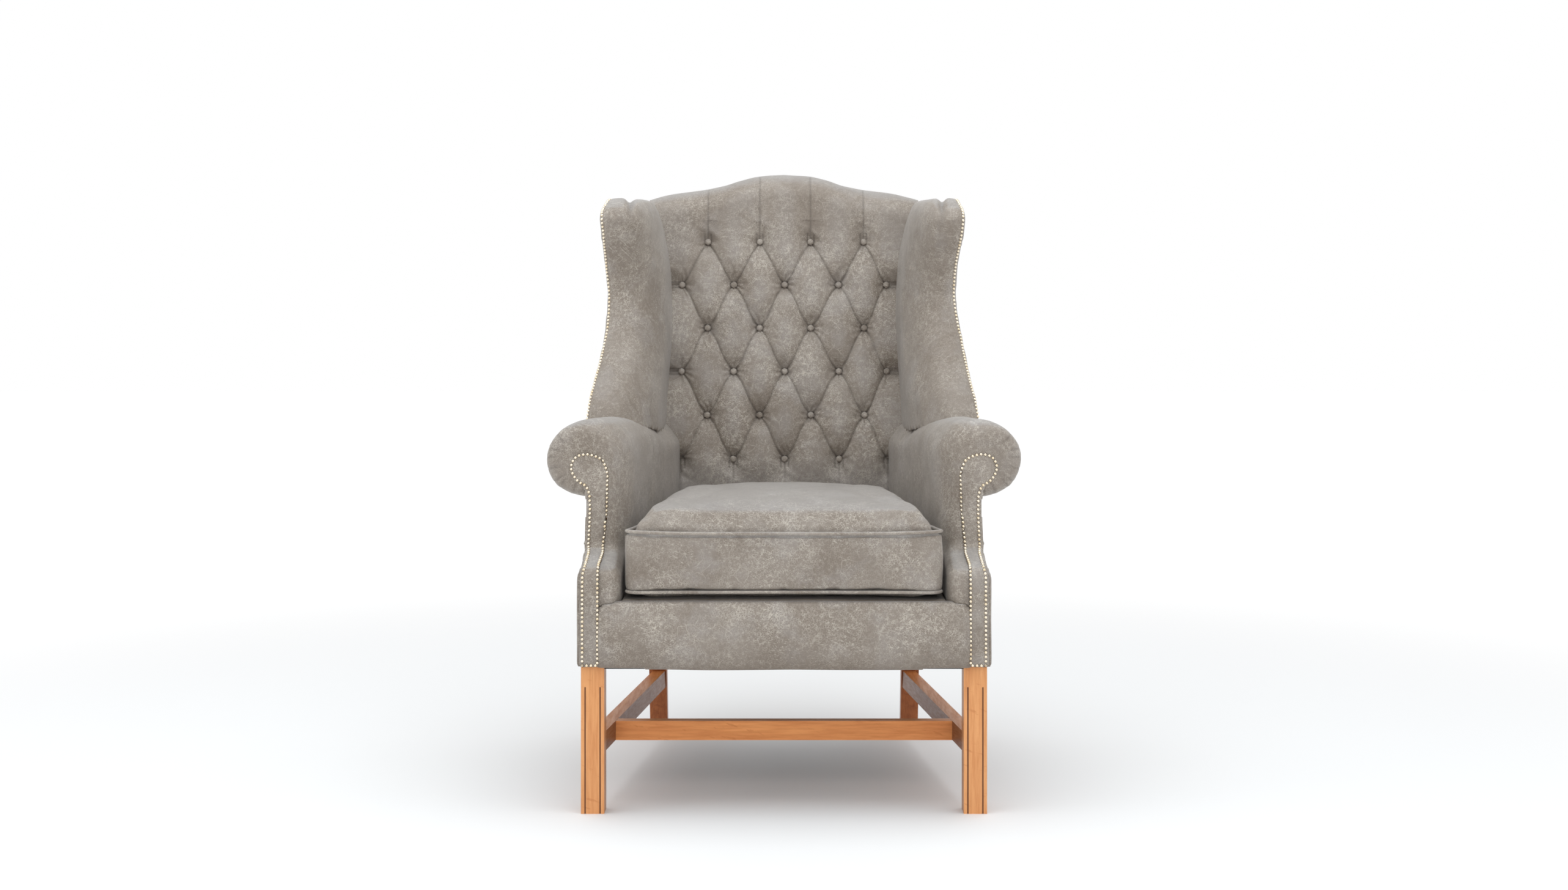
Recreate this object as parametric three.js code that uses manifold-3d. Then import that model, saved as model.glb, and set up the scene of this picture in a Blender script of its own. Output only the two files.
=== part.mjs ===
// Wingback armchair with scroll arms and a diamond-tufted back, in millimetres, +Z up.
// It faces -Y. The origin is on the floor, in the middle of the chair's outline.
// Until the last step, y is measured from the front face of the front legs, to the back.
import * as THREE from 'three';
import { mergeVertices } from 'three/addons/utils/BufferGeometryUtils.js';
import Module from 'manifold-3d';

const wasm = await Module();
wasm.setup();

// Clearances
const gap = 0.3;
const overrun = 40;
const seatPlay = 2;

// Heights
const railUnderside = 244;
const railHeight = 100;
const deckRise = 14;
const cushionSide = 109;
const armHeight = 652;
const earHeight = 1046;
const shoulderHeight = 1053;
const crestRise = 51;

// Frame in plan
const frameTaper = 0.1177;
const frameDepth = 633;
const rake = 0.158;
const footKick = 72;

// Show wood
const frontLegWidth = 39;
const backPostWidth = 34;
const backPostDepth = 36;
const grooveWidth = 2;
const grooveDepth = 1.6;
const grooveTop = 212;
const grooveInset = 6;
const stretcherUnderside = 95.3;
const stretcherHeight = 33.2;
const stretcherThickness = 24;
const crossStretcherSetback = 96;
const crossStretcherThickness = 22;
const tenonLength = 12;
const tenonShoulder = 6;

// Hidden frame
const railThickness = 25;
const blockLeg = 78;
const blockHeight = 66;
const blockNotch = 14;
const armPostThickness = 30;
const armPostDepth = 74;
const armRailHeight = 24;
const armRailInside = 34;
const armRailOutside = 14;
const armRailLift = 16;
const wingFrameThickness = 25;
const wingPostDepth = 48;
const wingRailHeight = 36;
const crestRailHeight = 86;
const lowerRailHeight = 44;
const lowerRailUnderside = 452;

// Springs and straps
const springWire = 3.6;
const springWidth = 46;
const springPitch = 48;
const springRise = 4;
const springClear = 2.2;
const springCount = 5;
const strapThickness = 2;
const strapWidth = 60;
const strapHeadroom = 36.6;
const strapLift = 10;
const strapCount = 3;

// Upholstery
const coverThickness = 6.7;
const seatWidthFront = 544;
const armSide = 67;
const seatNarrowing = 0.1156;
const borderDip = 2.5;
const borderInset = 32;
const borderSeam = 13;
const borderDrop = 4;
const crestPadding = 14;
const dustCoverThickness = 1.5;
const armScroll = 130;
const armScrollTaper = 0.036;
const armSetback = 90;
const sweepLow = 399;
const sweepHigh = 429;
const sweepCorner = 16;
const sweepHollow = 30;
const armFall = 0.03;
const armPadLift = 2;
const facingThickness = 3;
const facingWidth = 25;
const facingInset = 10.2;
const facingSway = 8;
const facingHead = 62;
const facingHeadShift = 3;
const facingHeadDrop = 23;
const facingLift = 4;
const wingRoll = 46;
const wingWrap = 4;
const wingSeam = 3;
const wingBulge = 5;
const wingBulgeShare = 0.5;
const backTuck = 8;
const wingTopShare = 0.9;
const wingFootShare = 0.4;
const scrollSteps = 9;
const wingWaist = 404;
const wingToe = 198;
const wingSplay = 0.1437;
const backThickness = 120;
const backWaistInset = 46.5;
const backTopInset = 0.5;
const cushionCrown = 33;
const cushionCorner = 26;
const cushionDrawIn = 6;
const cushionFront = -4;
const cushionEdge = 10;
const cushionReachShare = 1.1;
const cushionRoundingShare = 0.7;
const cushionRoundShare = 0.75;
const tuftColumn = 104;
const tuftRow = 84.2;
const tuftDrop = 83;
const tuftPuff = 24;
const tuftButton = 12;
const tuftSharpness = 8;
const crestRadius = 46;
const crestRollShare = 0.96;
const wireMiterShare = 0.5;

// Finishes
const finish = (name, color, roughness, metalness = 0) =>
  new THREE.MeshStandardMaterial({ name, color, roughness, metalness });
const fabric = finish('upholstery', 0xa89c8c, 0.62);
const showWood = finish('show_wood', 0xb0703e, 0.38);
const frameWood = finish('frame_wood', 0xcdb38a, 0.8);
const springSteel = finish('spring_steel', 0x6d6f70, 0.4, 0.9);
const jute = finish('jute', 0x9b7b4f, 0.95);
const cambric = finish('cambric', 0x1e1e20, 0.95);

// The lines that the pieces share
const legSpreadFront = seatWidthFront + 2 * armSide;
const legSpreadBack = legSpreadFront - 2 * frameTaper * frameDepth;
const frameHalfFront = legSpreadFront / 2;
const railTop = railUnderside + railHeight;
const deckHeight = railTop + deckRise;
const coverReach = gap + coverThickness;
const seatHalfFront = seatWidthFront / 2;
const backLayer = coverReach + backPostDepth + gap + strapThickness + gap;
const wingBackHalf = legSpreadBack / 2 + coverReach;
const wingLayer = coverThickness + gap + wingFrameThickness + gap;
const armRailUnderside = armHeight - armScroll + armRailLift;
const armRailTop = armRailUnderside + armRailHeight;
const armPadUnderside = railTop + armPadLift;
const strapFoot = armRailTop + strapLift;
const backWaistHalf = legSpreadBack / 2 - backWaistInset;
const backTopHalf = legSpreadBack / 2 - backTopInset;
const deckUnderside = railTop + gap + springWire + gap;
const backFoot = deckUnderside + springRise;
const crestHeight = shoulderHeight + crestRise;
const cushionTop = deckHeight + gap + cushionSide;

const frameLine = (y) => frameHalfFront - frameTaper * y;
const seatLine = (y) => seatHalfFront - seatNarrowing * Math.max(y - armSetback, 0);
const armThickness = (y) => frameLine(y) - seatLine(y);
const springSpacing = (2 * (seatLine(frameDepth) - springClear) - springWidth) / (springCount - 1);
const postBack = (z) => frameDepth + (z - railUnderside) * rake;
const postFront = (z) => postBack(z) - backPostDepth;
const backPlane = (z) => postBack(z) + coverReach;
const backFace = (z) => backPlane(z) - backThickness;
const wingLine = (y, z) => wingBackHalf + wingSplay * (backPlane(z) - y);

// A smooth height-to-place curve through pairs of shares, each in 0..1 of the sizes it follows.
function curveThrough(shares) {
  const slope = (i) => {
    const before = shares[Math.max(i - 1, 0)];
    const after = shares[Math.min(i + 1, shares.length - 1)];
    return (after[1] - before[1]) / (after[0] - before[0]);
  };
  return (at) => {
    const t = THREE.MathUtils.clamp(at, shares[0][0], shares[shares.length - 1][0]);
    const i = Math.min(shares.findLastIndex((pair) => pair[0] <= t), shares.length - 2);
    const span = shares[i + 1][0] - shares[i][0];
    const u = (t - shares[i][0]) / span;
    const rise = shares[i + 1][1] - shares[i][1];
    const bend = (1 - u) * (slope(i) * span - rise) + u * (rise - slope(i + 1) * span);
    return shares[i][1] + u * rise + u * (1 - u) * bend;
  };
}

// Front edge of the wing: share of the height from the arm to the ear, share of the reach forward.
const wingEdgeShares = [
  [0, 1], [0.112, 0.87], [0.225, 0.6], [0.36, 0.28], [0.494, 0.07], [0.607, 0],
  [0.719, 0.1], [0.82, 0.28], [0.9, 0.37], [0.96, 0.33], [1, 0.2],
];
const wingFoot = armHeight - armScroll * wingFootShare;
const wingEdge = curveThrough(wingEdgeShares);
const wingFront = (z) =>
  wingWaist - (wingWaist - wingToe) * wingEdge((z - wingFoot) / (earHeight - wingFoot));

// Side of the back panel: share of the height up to the shoulder, share of the flare outwards.
const backSideShares = [
  [0, 0.13], [0.42, 0.2], [0.62, 0], [0.75, 0.03], [0.85, 0.2], [0.93, 0.46], [0.97, 0.7], [1, 0.96],
];
const backSide = curveThrough(backSideShares);
const backHalf = (z) =>
  backWaistHalf + (backTopHalf - backWaistHalf) * backSide((z - railTop) / (shoulderHeight - railTop));

// Serpentine crest: share of the half width, share of the rise above the shoulder.
const crestShares = [
  [0, 1], [0.2, 0.93], [0.325, 0.76], [0.44, 0.57], [0.6, 0.4], [0.825, 0.24], [1, 0],
];
const crest = curveThrough(crestShares);
const crestLine = (x) => shoulderHeight + crestRise * crest(Math.abs(x) / backTopHalf);

// Shape tools
function box([x0, x1], [y0, y1], [z0, z1]) {
  const geometry = new THREE.BoxGeometry(x1 - x0, y1 - y0, z1 - z0);
  return geometry.translate((x0 + x1) / 2, (y0 + y1) / 2, (z0 + z1) / 2);
}

// An outline drawn in the two other axes, extruded along the named axis from one place to another.
const straightShare = 1e-6;
const outlineFrames = {
  x: new THREE.Matrix4().makeBasis(
    new THREE.Vector3(0, 1, 0), new THREE.Vector3(0, 0, 1), new THREE.Vector3(1, 0, 0)),
  y: new THREE.Matrix4().makeBasis(
    new THREE.Vector3(1, 0, 0), new THREE.Vector3(0, 0, 1), new THREE.Vector3(0, -1, 0)),
  z: new THREE.Matrix4(),
};
function isCorner(point, points, i) {
  const before = points.at(i - 1).clone().sub(point).normalize();
  const after = points[(i + 1) % points.length].clone().sub(point).normalize();
  return Math.abs(before.cross(after)) > straightShare;
}
function extruded(outline, axis, from, to) {
  const points = outline.map(([a, b]) => new THREE.Vector2(a, b));
  const shape = new THREE.Shape(points.filter((point, i) => isCorner(point, points, i)));
  const geometry = new THREE.ExtrudeGeometry(shape, { depth: to - from, bevelEnabled: false });
  geometry.applyMatrix4(outlineFrames[axis]);
  const along = axis === 'y' ? to : from;
  return geometry.translate(...['x', 'y', 'z'].map((name) => (name === axis ? along : 0)));
}

// Moves each vertex by a rule, keeping the faces.
function warped(geometry, rule) {
  const place = geometry.attributes.position;
  const point = new THREE.Vector3();
  for (let i = 0; i < place.count; i += 1) {
    point.fromBufferAttribute(place, i);
    rule(point);
    place.setXYZ(i, point.x, point.y, point.z);
  }
  return geometry;
}
const onFrameLine = (geometry) => warped(geometry, (p) => { p.x += frameLine(p.y); });
const onWingLine = (geometry) => warped(geometry, (p) => { p.x += wingLine(p.y, p.z); });
const leaning = (geometry) => warped(geometry, (p) => { p.y += backPlane(p.z); });

// Rings of equal length, joined in order and closed at both ends.
function lofted(sections, flat) {
  const drawn = (ring) => ring.map((point) => new THREE.Vector2(...flat(point)));
  const turned = THREE.ShapeUtils.isClockWise(drawn(sections[0]));
  const rings = turned ? sections.map((ring) => [...ring].reverse()) : sections;
  const count = rings[0].length;
  const positions = rings.flat(2);
  const index = [];
  for (let ring = 0; ring < rings.length - 1; ring += 1) {
    for (let i = 0; i < count; i += 1) {
      const a = ring * count + i;
      const b = ring * count + (i + 1) % count;
      index.push(a, b, b + count, a, b + count, a + count);
    }
  }
  const last = (rings.length - 1) * count;
  const capOf = (ring) => THREE.ShapeUtils.triangulateShape(drawn(ring), []);
  for (const [a, b, c] of capOf(rings[0])) index.push(a, c, b);
  for (const [a, b, c] of capOf(rings[rings.length - 1])) index.push(last + a, last + b, last + c);
  const geometry = new THREE.BufferGeometry();
  geometry.setAttribute('position', new THREE.Float32BufferAttribute(positions, 3));
  geometry.setIndex(index);
  return facingOut(geometry);
}

function facingOut(geometry) {
  const place = geometry.attributes.position;
  const index = geometry.index.array;
  const corner = [new THREE.Vector3(), new THREE.Vector3(), new THREE.Vector3()];
  let volume = 0;
  for (let i = 0; i < index.length; i += 3) {
    corner.forEach((point, k) => point.fromBufferAttribute(place, index[i + k]));
    volume += corner[0].dot(corner[1].cross(corner[2]));
  }
  if (volume < 0) {
    for (let i = 0; i < index.length; i += 3) {
      [index[i + 1], index[i + 2]] = [index[i + 2], index[i + 1]];
    }
  }
  return geometry;
}

// Joins and cuts
function bare(geometry) {
  const copy = geometry.clone();
  copy.deleteAttribute('normal');
  copy.deleteAttribute('uv');
  return copy;
}
function solid(geometry) {
  const merged = mergeVertices(bare(geometry));
  return new wasm.Manifold(new wasm.Mesh({
    numProp: 3,
    vertProperties: new Float32Array(merged.attributes.position.array),
    triVerts: new Uint32Array(merged.index.array),
  }));
}
function shaped(manifold) {
  const mesh = manifold.getMesh();
  const geometry = new THREE.BufferGeometry();
  geometry.setAttribute('position', new THREE.Float32BufferAttribute(mesh.vertProperties, 3));
  geometry.setIndex(new THREE.Uint32BufferAttribute(mesh.triVerts, 1));
  return geometry;
}
const cut = (geometry, ...cutters) =>
  shaped(cutters.reduce((body, cutter) => body.subtract(solid(cutter)), solid(geometry)));
const joined = (geometry, ...others) =>
  shaped(others.reduce((body, other) => body.add(solid(other)), solid(geometry)));
const common = (geometry, other) => shaped(solid(geometry).intersect(solid(other)));

// The chair
const chair = new THREE.Group();

function place(name, geometry, material) {
  const mesh = new THREE.Mesh(geometry, material);
  mesh.name = name;
  mesh.geometry.computeVertexNormals();
  chair.add(mesh);
}

// A piece is drawn on the +X side and copied to the other one. Right and left are as seen from the front.
function mirrored(geometry) {
  const other = mergeVertices(bare(geometry));
  return facingOut(other.scale(-1, 1, 1));
}
function placePair(name, geometry, material) {
  place(`${name}_right`, geometry, material);
  place(`${name}_left`, mirrored(geometry), material);
}

// Frame: legs, posts, rails and stretchers
const legFoot = frameDepth - backPostDepth + footKick;
const legFront = (z) =>
  (z < railUnderside
    ? THREE.MathUtils.lerp(legFoot, postFront(railUnderside), z / railUnderside)
    : postFront(z));
const grown = ([from, to], by = gap) => [from - by, to + by];

// A bar along the side of the chair, from the front leg to the back post, reaching beyond its shoulders.
function sideBar(across, up, beyond) {
  const front = frontLegWidth + gap - beyond;
  const back = up.map((z) => legFront(z) - gap + beyond);
  const outline = [[front, up[0]], [back[0], up[0]], [back[1], up[1]], [front, up[1]]];
  return onFrameLine(extruded(outline, 'x', ...across));
}

// A bar across the chair that leans with the back.
const crossBar = (half, layers, up) => leaning(box([-half, half], layers, up));

const railSpan = [railUnderside, railTop];
const stretcherSpan = [stretcherUnderside, stretcherUnderside + stretcherHeight];
const stretcherAcross = [
  -(frontLegWidth + stretcherThickness) / 2, -(frontLegWidth - stretcherThickness) / 2,
];
const tenonOf = (range) => grown(range, -tenonShoulder);
const sideRailTenon = (grow) =>
  sideBar(grown(tenonOf([-railThickness, 0]), grow), grown(tenonOf(railSpan), grow), tenonLength + grow);
const sideStretcherTenon = (grow) =>
  sideBar(grown(tenonOf(stretcherAcross), grow), grown(tenonOf(stretcherSpan), grow), tenonLength + grow);

const frontRailHalf = frameHalfFront - frontLegWidth - gap;
const frontRailTenon = (grow) => {
  const half = frontRailHalf + tenonLength + grow;
  return box([-half, half], grown(tenonOf([0, railThickness]), grow), grown(tenonOf(railSpan), grow));
};
const backRailHalf = legSpreadBack / 2 - backPostWidth - gap;
const backRailLayers = [-coverReach - railThickness, -coverReach];
const backRailTenon = (grow) =>
  crossBar(
    backRailHalf + tenonLength + grow, grown(tenonOf(backRailLayers), grow), grown(tenonOf(railSpan), grow));

// Inside the seat frame, the outer face of the leg is planed to the line of the side rail.
const outsideFrame = () =>
  onFrameLine(box(
    [0, frameHalfFront], [-overrun, frontLegWidth + overrun], [railUnderside - gap, crestHeight]));
function frontLeg() {
  const inner = frameHalfFront - frontLegWidth;
  const leg = box([inner, frameHalfFront], [0, frontLegWidth], [0, railTop]);
  const groove = (x) =>
    box([x, x + grooveWidth], [-overrun, grooveDepth], [-overrun, grooveTop]);
  return cut(
    leg,
    groove(inner + grooveInset),
    groove(frameHalfFront - grooveInset - grooveWidth),
    outsideFrame(),
    frontRailTenon(gap),
    sideRailTenon(gap),
    sideStretcherTenon(gap),
  );
}

const crestUnderside = shoulderHeight - crestRailHeight;
function backPost() {
  const top = crestUnderside - gap;
  const outline = [
    [legFoot, 0], [legFoot + backPostDepth, 0], [postBack(railUnderside), railUnderside],
    [postBack(top), top], [postFront(top), top], [postFront(railUnderside), railUnderside],
  ];
  const outside = legSpreadBack / 2;
  const post = extruded(outline, 'x', outside - backPostWidth, outside);
  return cut(post, sideRailTenon(gap), sideStretcherTenon(gap), backRailTenon(gap));
}

placePair('front_leg', frontLeg(), showWood);
placePair('back_post', backPost(), showWood);
placePair(
  'side_rail', joined(sideBar([-railThickness, 0], railSpan, 0), sideRailTenon(0)), frameWood);

const crossFront = frontLegWidth + crossStretcherSetback;
const crossSpan = [crossFront, crossFront + crossStretcherThickness];
function crossStretcher(beyond, grow) {
  const half = (y) => frameLine(y) + stretcherAcross[0] - gap + beyond + grow;
  const depth = beyond ? grown(tenonOf(crossSpan), grow) : crossSpan;
  const height = beyond ? grown(tenonOf(stretcherSpan), grow) : stretcherSpan;
  const outline = [
    [-half(depth[0]), depth[0]], [half(depth[0]), depth[0]],
    [half(depth[1]), depth[1]], [-half(depth[1]), depth[1]],
  ];
  return extruded(outline, 'z', ...height);
}
placePair(
  'side_stretcher',
  cut(
    joined(sideBar(stretcherAcross, stretcherSpan, 0), sideStretcherTenon(0)),
    crossStretcher(tenonLength, gap),
  ),
  showWood);
place('cross_stretcher', joined(crossStretcher(0, 0), crossStretcher(tenonLength, 0)), showWood);

place(
  'front_rail',
  joined(
    box([-frontRailHalf, frontRailHalf], [0, railThickness], railSpan),
    frontRailTenon(0),
  ),
  frameWood);
place('back_rail', joined(crossBar(backRailHalf, backRailLayers, railSpan), backRailTenon(0)), frameWood);

// Corner blocks: triangular, glued to two rails, with the inner corner of the leg left clear.
const blockMiddle = (railUnderside + railTop) / 2;
const blockSpan = [blockMiddle - blockHeight / 2, blockMiddle + blockHeight / 2];
function frontBlock() {
  const back = railThickness + gap;
  const side = (y) => frameLine(y) - railThickness - gap;
  const notch = frontLegWidth + gap + blockNotch;
  const outline = [
    [frontRailHalf - blockNotch, back], [frontRailHalf - blockLeg, back],
    [side(back + blockLeg), back + blockLeg], [side(notch), notch],
  ];
  return extruded(outline, 'z', ...blockSpan);
}
// The back block meets the leaning back rail at the height where that rail comes furthest forward.
function backBlock() {
  const front = postBack(blockSpan[0]) - railThickness - gap;
  const side = (y) => frameLine(y) - railThickness - gap;
  const notch = postFront(blockSpan[0]) - gap - blockNotch;
  const outline = [
    [backRailHalf - blockNotch, front], [backRailHalf - blockLeg, front],
    [side(front - blockLeg), front - blockLeg], [side(notch), notch],
  ];
  return extruded(outline, 'z', ...blockSpan);
}
placePair('front_corner_block', frontBlock(), frameWood);
placePair('back_corner_block', backBlock(), frameWood);

// Arm front: a line that rises at the border, sweeps back over the corner and rises to the scroll.
// The line is moved outwards by `out`, so that layers of padding follow it.
const sweepSteps = 5;
function arcAt(before, corner, after, radius) {
  const toBefore = before.clone().sub(corner).normalize();
  const toAfter = after.clone().sub(corner).normalize();
  const half = Math.acos(toBefore.dot(toAfter)) / 2;
  const inward = toBefore.clone().add(toAfter).normalize();
  const centre = corner.clone().addScaledVector(inward, radius / Math.sin(half));
  const start = corner.clone().addScaledVector(toBefore, radius / Math.tan(half)).sub(centre);
  const end = corner.clone().addScaledVector(toAfter, radius / Math.tan(half)).sub(centre);
  const turn = Math.atan2(start.x * end.y - start.y * end.x, start.dot(end));
  return Array.from({ length: sweepSteps + 1 }, (_, i) =>
    start.clone().rotateAround(new THREE.Vector2(), turn * i / sweepSteps).add(centre));
}
function sweepLine(out, bottom, top) {
  const slope = (sweepHigh - sweepLow) / armSetback;
  const lift = out * (Math.hypot(1, slope));
  const ramp = (y) => new THREE.Vector2(y, sweepLow + lift + slope * y);
  const foot = new THREE.Vector2(-out, bottom);
  const head = new THREE.Vector2(armSetback - out, top);
  const low = ramp(-out);
  const high = ramp(armSetback - out);
  const points = [
    foot, ...arcAt(foot, low, high, sweepCorner + out), ...arcAt(low, high, head, sweepHollow - out), head,
  ];
  return points.map((point) => point.toArray());
}

// Arm in section: a wall beside the seat, and a scroll that rolls outwards over the arm rail.
const armRadius = (y) => (armScroll - armScrollTaper * (y - armSetback)) / 2;
const scrollAcross = (y) => armRadius(y) - armThickness(y);
const scrollHeight = (y) => armHeight - armFall * (y - armSetback) - armRadius(y);
const scrollStations = [-overrun, armSetback, postBack(armHeight) + overrun];
const quarter = Math.PI / 2;
function scrollArc(y, grow, from, to) {
  const radius = armRadius(y) + grow;
  const steps = Math.max(Math.round((from - to) / quarter), 1) * scrollSteps;
  return Array.from({ length: steps + 1 }, (_, i) => {
    const angle = THREE.MathUtils.lerp(from, to, i / steps);
    return [scrollAcross(y) + radius * Math.cos(angle), scrollHeight(y) + radius * Math.sin(angle)];
  });
}
// Over the scroll, from the wall beside the seat to the outermost point, and on to an end under it.
const scrollTop = (y, grow) => scrollArc(y, grow, 2 * quarter, 0);
const scrollUnder = (y, end) => scrollArc(y, 0, 0, end).slice(1);
function armLoft(section) {
  const rings = scrollStations.map((y) =>
    section(y).map(([across, z]) => [frameLine(y) + across, y, z]));
  return lofted(rings, ([x, , z]) => [x, z]);
}
const armPostSpan = [-armPostThickness, 0];
const armRailSpan = [-armRailInside, armRailOutside];
function armSection(y) {
  const [postIn, postOut] = grown(armPostSpan);
  const [railIn, railOut] = grown(armRailSpan);
  const under = armRailUnderside - gap;
  const over = armRailTop + gap;
  const wall = -armThickness(y);
  const end = -Math.acos((postOut - scrollAcross(y)) / armRadius(y));
  return [
    [wall, armPadUnderside], ...scrollTop(y, 0), ...scrollUnder(y, end), [postOut, under], [railOut, under],
    [railOut, over], [railIn, over], [railIn, under], [postIn, under], [postIn, armPadUnderside],
  ];
}
// All that lies under the top of the scroll, as a cutter for what stands on the arm.
const underScroll = () => armLoft((y) => [
  [-armThickness(y) - gap, 0], ...scrollTop(y, gap),
  [scrollAcross(y) + armRadius(y) + gap, 0],
]);
const scrollRoll = () => armLoft((y) => scrollArc(y, 2 * gap, 4 * quarter, 0).slice(1));

const wide = legSpreadFront;
const tall = crestHeight + overrun;
// Cutters that take away what would reach past the front of the arm, or into or past the back frame.
const frontOfArm = extruded(
  [[-overrun * 2, -overrun], [0, -overrun], ...sweepLine(0, 0, tall), [-overrun * 2, tall]],
  'x', -wide, wide);
const behindChair = extruded(
  [[postBack(0), 0], [postBack(0) + wide, 0], [postBack(tall) + wide, tall], [postBack(tall), tall]],
  'x', -wide, wide);
const padRear = (z) => backPlane(z) - backLayer;
const backFrameSpace = extruded(
  [[padRear(0), 0], [padRear(0) + wide, 0], [padRear(tall) + wide, tall], [padRear(tall), tall]],
  'x', -legSpreadBack / 2 - gap, legSpreadBack / 2 + gap);

// Outline of the back between the wings, from its foot to the serpentine crest.
function backOutline(grow, bottom) {
  const sideSteps = 14;
  const side = Array.from({ length: sideSteps + 1 }, (_, i) => {
    const z = THREE.MathUtils.lerp(bottom, shoulderHeight, i / sideSteps);
    return [backHalf(z) + grow, z];
  });
  const crestSteps = 20;
  const over = Array.from({ length: crestSteps - 1 }, (_, i) => {
    const x = THREE.MathUtils.lerp(1, -1, (i + 1) / crestSteps) * backHalf(shoulderHeight);
    return [x, crestLine(x) + grow];
  });
  return [...side, ...over, ...side.map(([x, z]) => [-x, z]).reverse()];
}
// The back leans, so the prism reaches from well before its face to its rear.
const backPrism = (grow) =>
  leaning(extruded(backOutline(grow, backFoot - grow), 'y', -backThickness - overrun, -coverReach));
const backBlockSpace = (grow) =>
  leaning(extruded(backOutline(grow, backFoot - grow), 'y', -backThickness - grow, -coverReach));

// Wing: drawn as an offset from its outer face, which splays outwards to the front.
const wingSteps = 12;
function wingStrip(from, to, bottom, top, across) {
  const heights = Array.from({ length: wingSteps + 1 }, (_, i) =>
    THREE.MathUtils.lerp(bottom, top, i / wingSteps));
  const outline = [...heights.map((z) => [from(z), z]), ...heights.reverse().map((z) => [to(z), z])];
  return onWingLine(extruded(outline, 'x', ...across));
}
const wingRebate = (z) => wingFront(z) + wingRoll / 2 + wingWrap;
const wingPostFront = (z) => wingRebate(z) + wingSeam + gap;
const wingPostBack = (z) => wingPostFront(z) + wingPostDepth;
const wingFrameSpan = [gap - wingLayer, -coverThickness - gap];
const wingFrameTop = earHeight - wingRoll * wingTopShare;
const wingPost = (grow) =>
  wingStrip(
    (z) => wingPostFront(z) - grow, (z) => wingPostBack(z) + grow,
    armRailTop + gap - grow, wingFrameTop + grow, grown(wingFrameSpan, grow));

placePair(
  'arm_post',
  onFrameLine(extruded(
    [
      ...sweepLine(0, railTop + gap, armRailUnderside - gap),
      [armSetback + armPostDepth, armRailUnderside - gap], [armSetback + armPostDepth, railTop + gap],
    ],
    'x', ...armPostSpan)),
  frameWood);
placePair(
  'arm_rail',
  onFrameLine(extruded(
    [
      [armSetback + gap, armRailUnderside], [postFront(armRailUnderside) - gap, armRailUnderside],
      [postFront(armRailTop) - gap, armRailTop], [armSetback + gap, armRailTop],
    ],
    'x', ...armRailSpan)),
  frameWood);
placePair('wing_post', wingPost(0), frameWood);
placePair(
  'wing_rail',
  cut(
    wingStrip(
      (z) => wingPostBack(z) - wingPostDepth / 2, (z) => postFront(z) - gap,
      wingFrameTop - wingRailHeight, wingFrameTop, wingFrameSpan),
    wingPost(gap)),
  frameWood);

placePair(
  'arm_pad',
  cut(armLoft(armSection), frontOfArm, behindChair, backFrameSpace, backBlockSpace(gap), wingPost(gap)),
  fabric);
// What would reach outboard of the back post is kept clear of it.
const sideOfPost = extruded(
  [
    [postFront(0) - gap, 0], [postFront(0) + wide, 0],
    [postFront(tall) + wide, tall], [postFront(tall) - gap, tall],
  ],
  'x', 0, legSpreadBack / 2 + gap);
const backCover = () => {
  const outline = backOutline(0, shoulderHeight - crestRailHeight).filter(([, z]) => z >= shoulderHeight);
  const corner = [wingBackHalf, wingFrameTop];
  return [
    [wingBackHalf, railUnderside], corner, ...outline.map(([x, z]) => [x, z - crestPadding / 2]),
    [-wingBackHalf, wingFrameTop], [-wingBackHalf, railUnderside],
  ];
};

// Wing pad in plan, at one height: along the inner face, round the front roll, to the rebate of the frame.
const wingRollSteps = 6;
function wingRing(z, framed, roll, retreat) {
  const radius = roll / 2;
  const middle = -wingRoll / 2;
  const front = wingFront(z) + retreat;
  const rear = framed ? padRear(z) : postBack(z);
  const inner = (y) => backHalf(z) - wingSeam - wingLine(y, z);
  const side = backFace(z) + backTuck;
  const around = Array.from({ length: wingRollSteps + 1 }, (_, i) => {
    const angle = Math.PI * (1 + i / wingRollSteps);
    return [middle + radius * Math.cos(angle), front + radius + radius * Math.sin(angle)];
  });
  const bulge = THREE.MathUtils.lerp(side, front, wingBulgeShare);
  const face = THREE.MathUtils.lerp(inner(side), around[0][0], wingBulgeShare) - wingBulge;
  const depth = framed ? -wingLayer : middle + radius;
  const crown = framed ? 0 : wingSeam / 2;
  const outline = [
    [inner(rear), rear], [inner(side), side], [face, bulge], ...around,
    [middle + radius, wingRebate(z)], [depth + crown, wingRebate(z) + wingSeam], [depth, rear],
  ];
  return outline.map(([across, y]) => [wingLine(y, z) + across, y, z]);
}
function wingPad() {
  const framedHeights = Array.from({ length: wingSteps + 1 }, (_, i) =>
    THREE.MathUtils.lerp(wingFoot, wingFrameTop + gap, i / wingSteps));
  const topShares = [[0, 0], [0.45, 0.07], [0.8, 0.27], [1, 0.52]];
  const closing = topShares.map(([up, inset]) => {
    const z = THREE.MathUtils.lerp(wingFrameTop + 2 * gap, earHeight, up);
    return wingRing(z, false, wingRoll * (1 - inset), wingRoll * inset);
  });
  const framed = framedHeights.map((z) => wingRing(z, true, wingRoll, 0));
  return lofted([...framed, ...closing], ([x, y]) => [x, y]);
}
placePair(
  'wing_pad', cut(wingPad(), underScroll(), backFrameSpace, backPrism(gap), wingPost(gap)), fabric);

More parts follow.
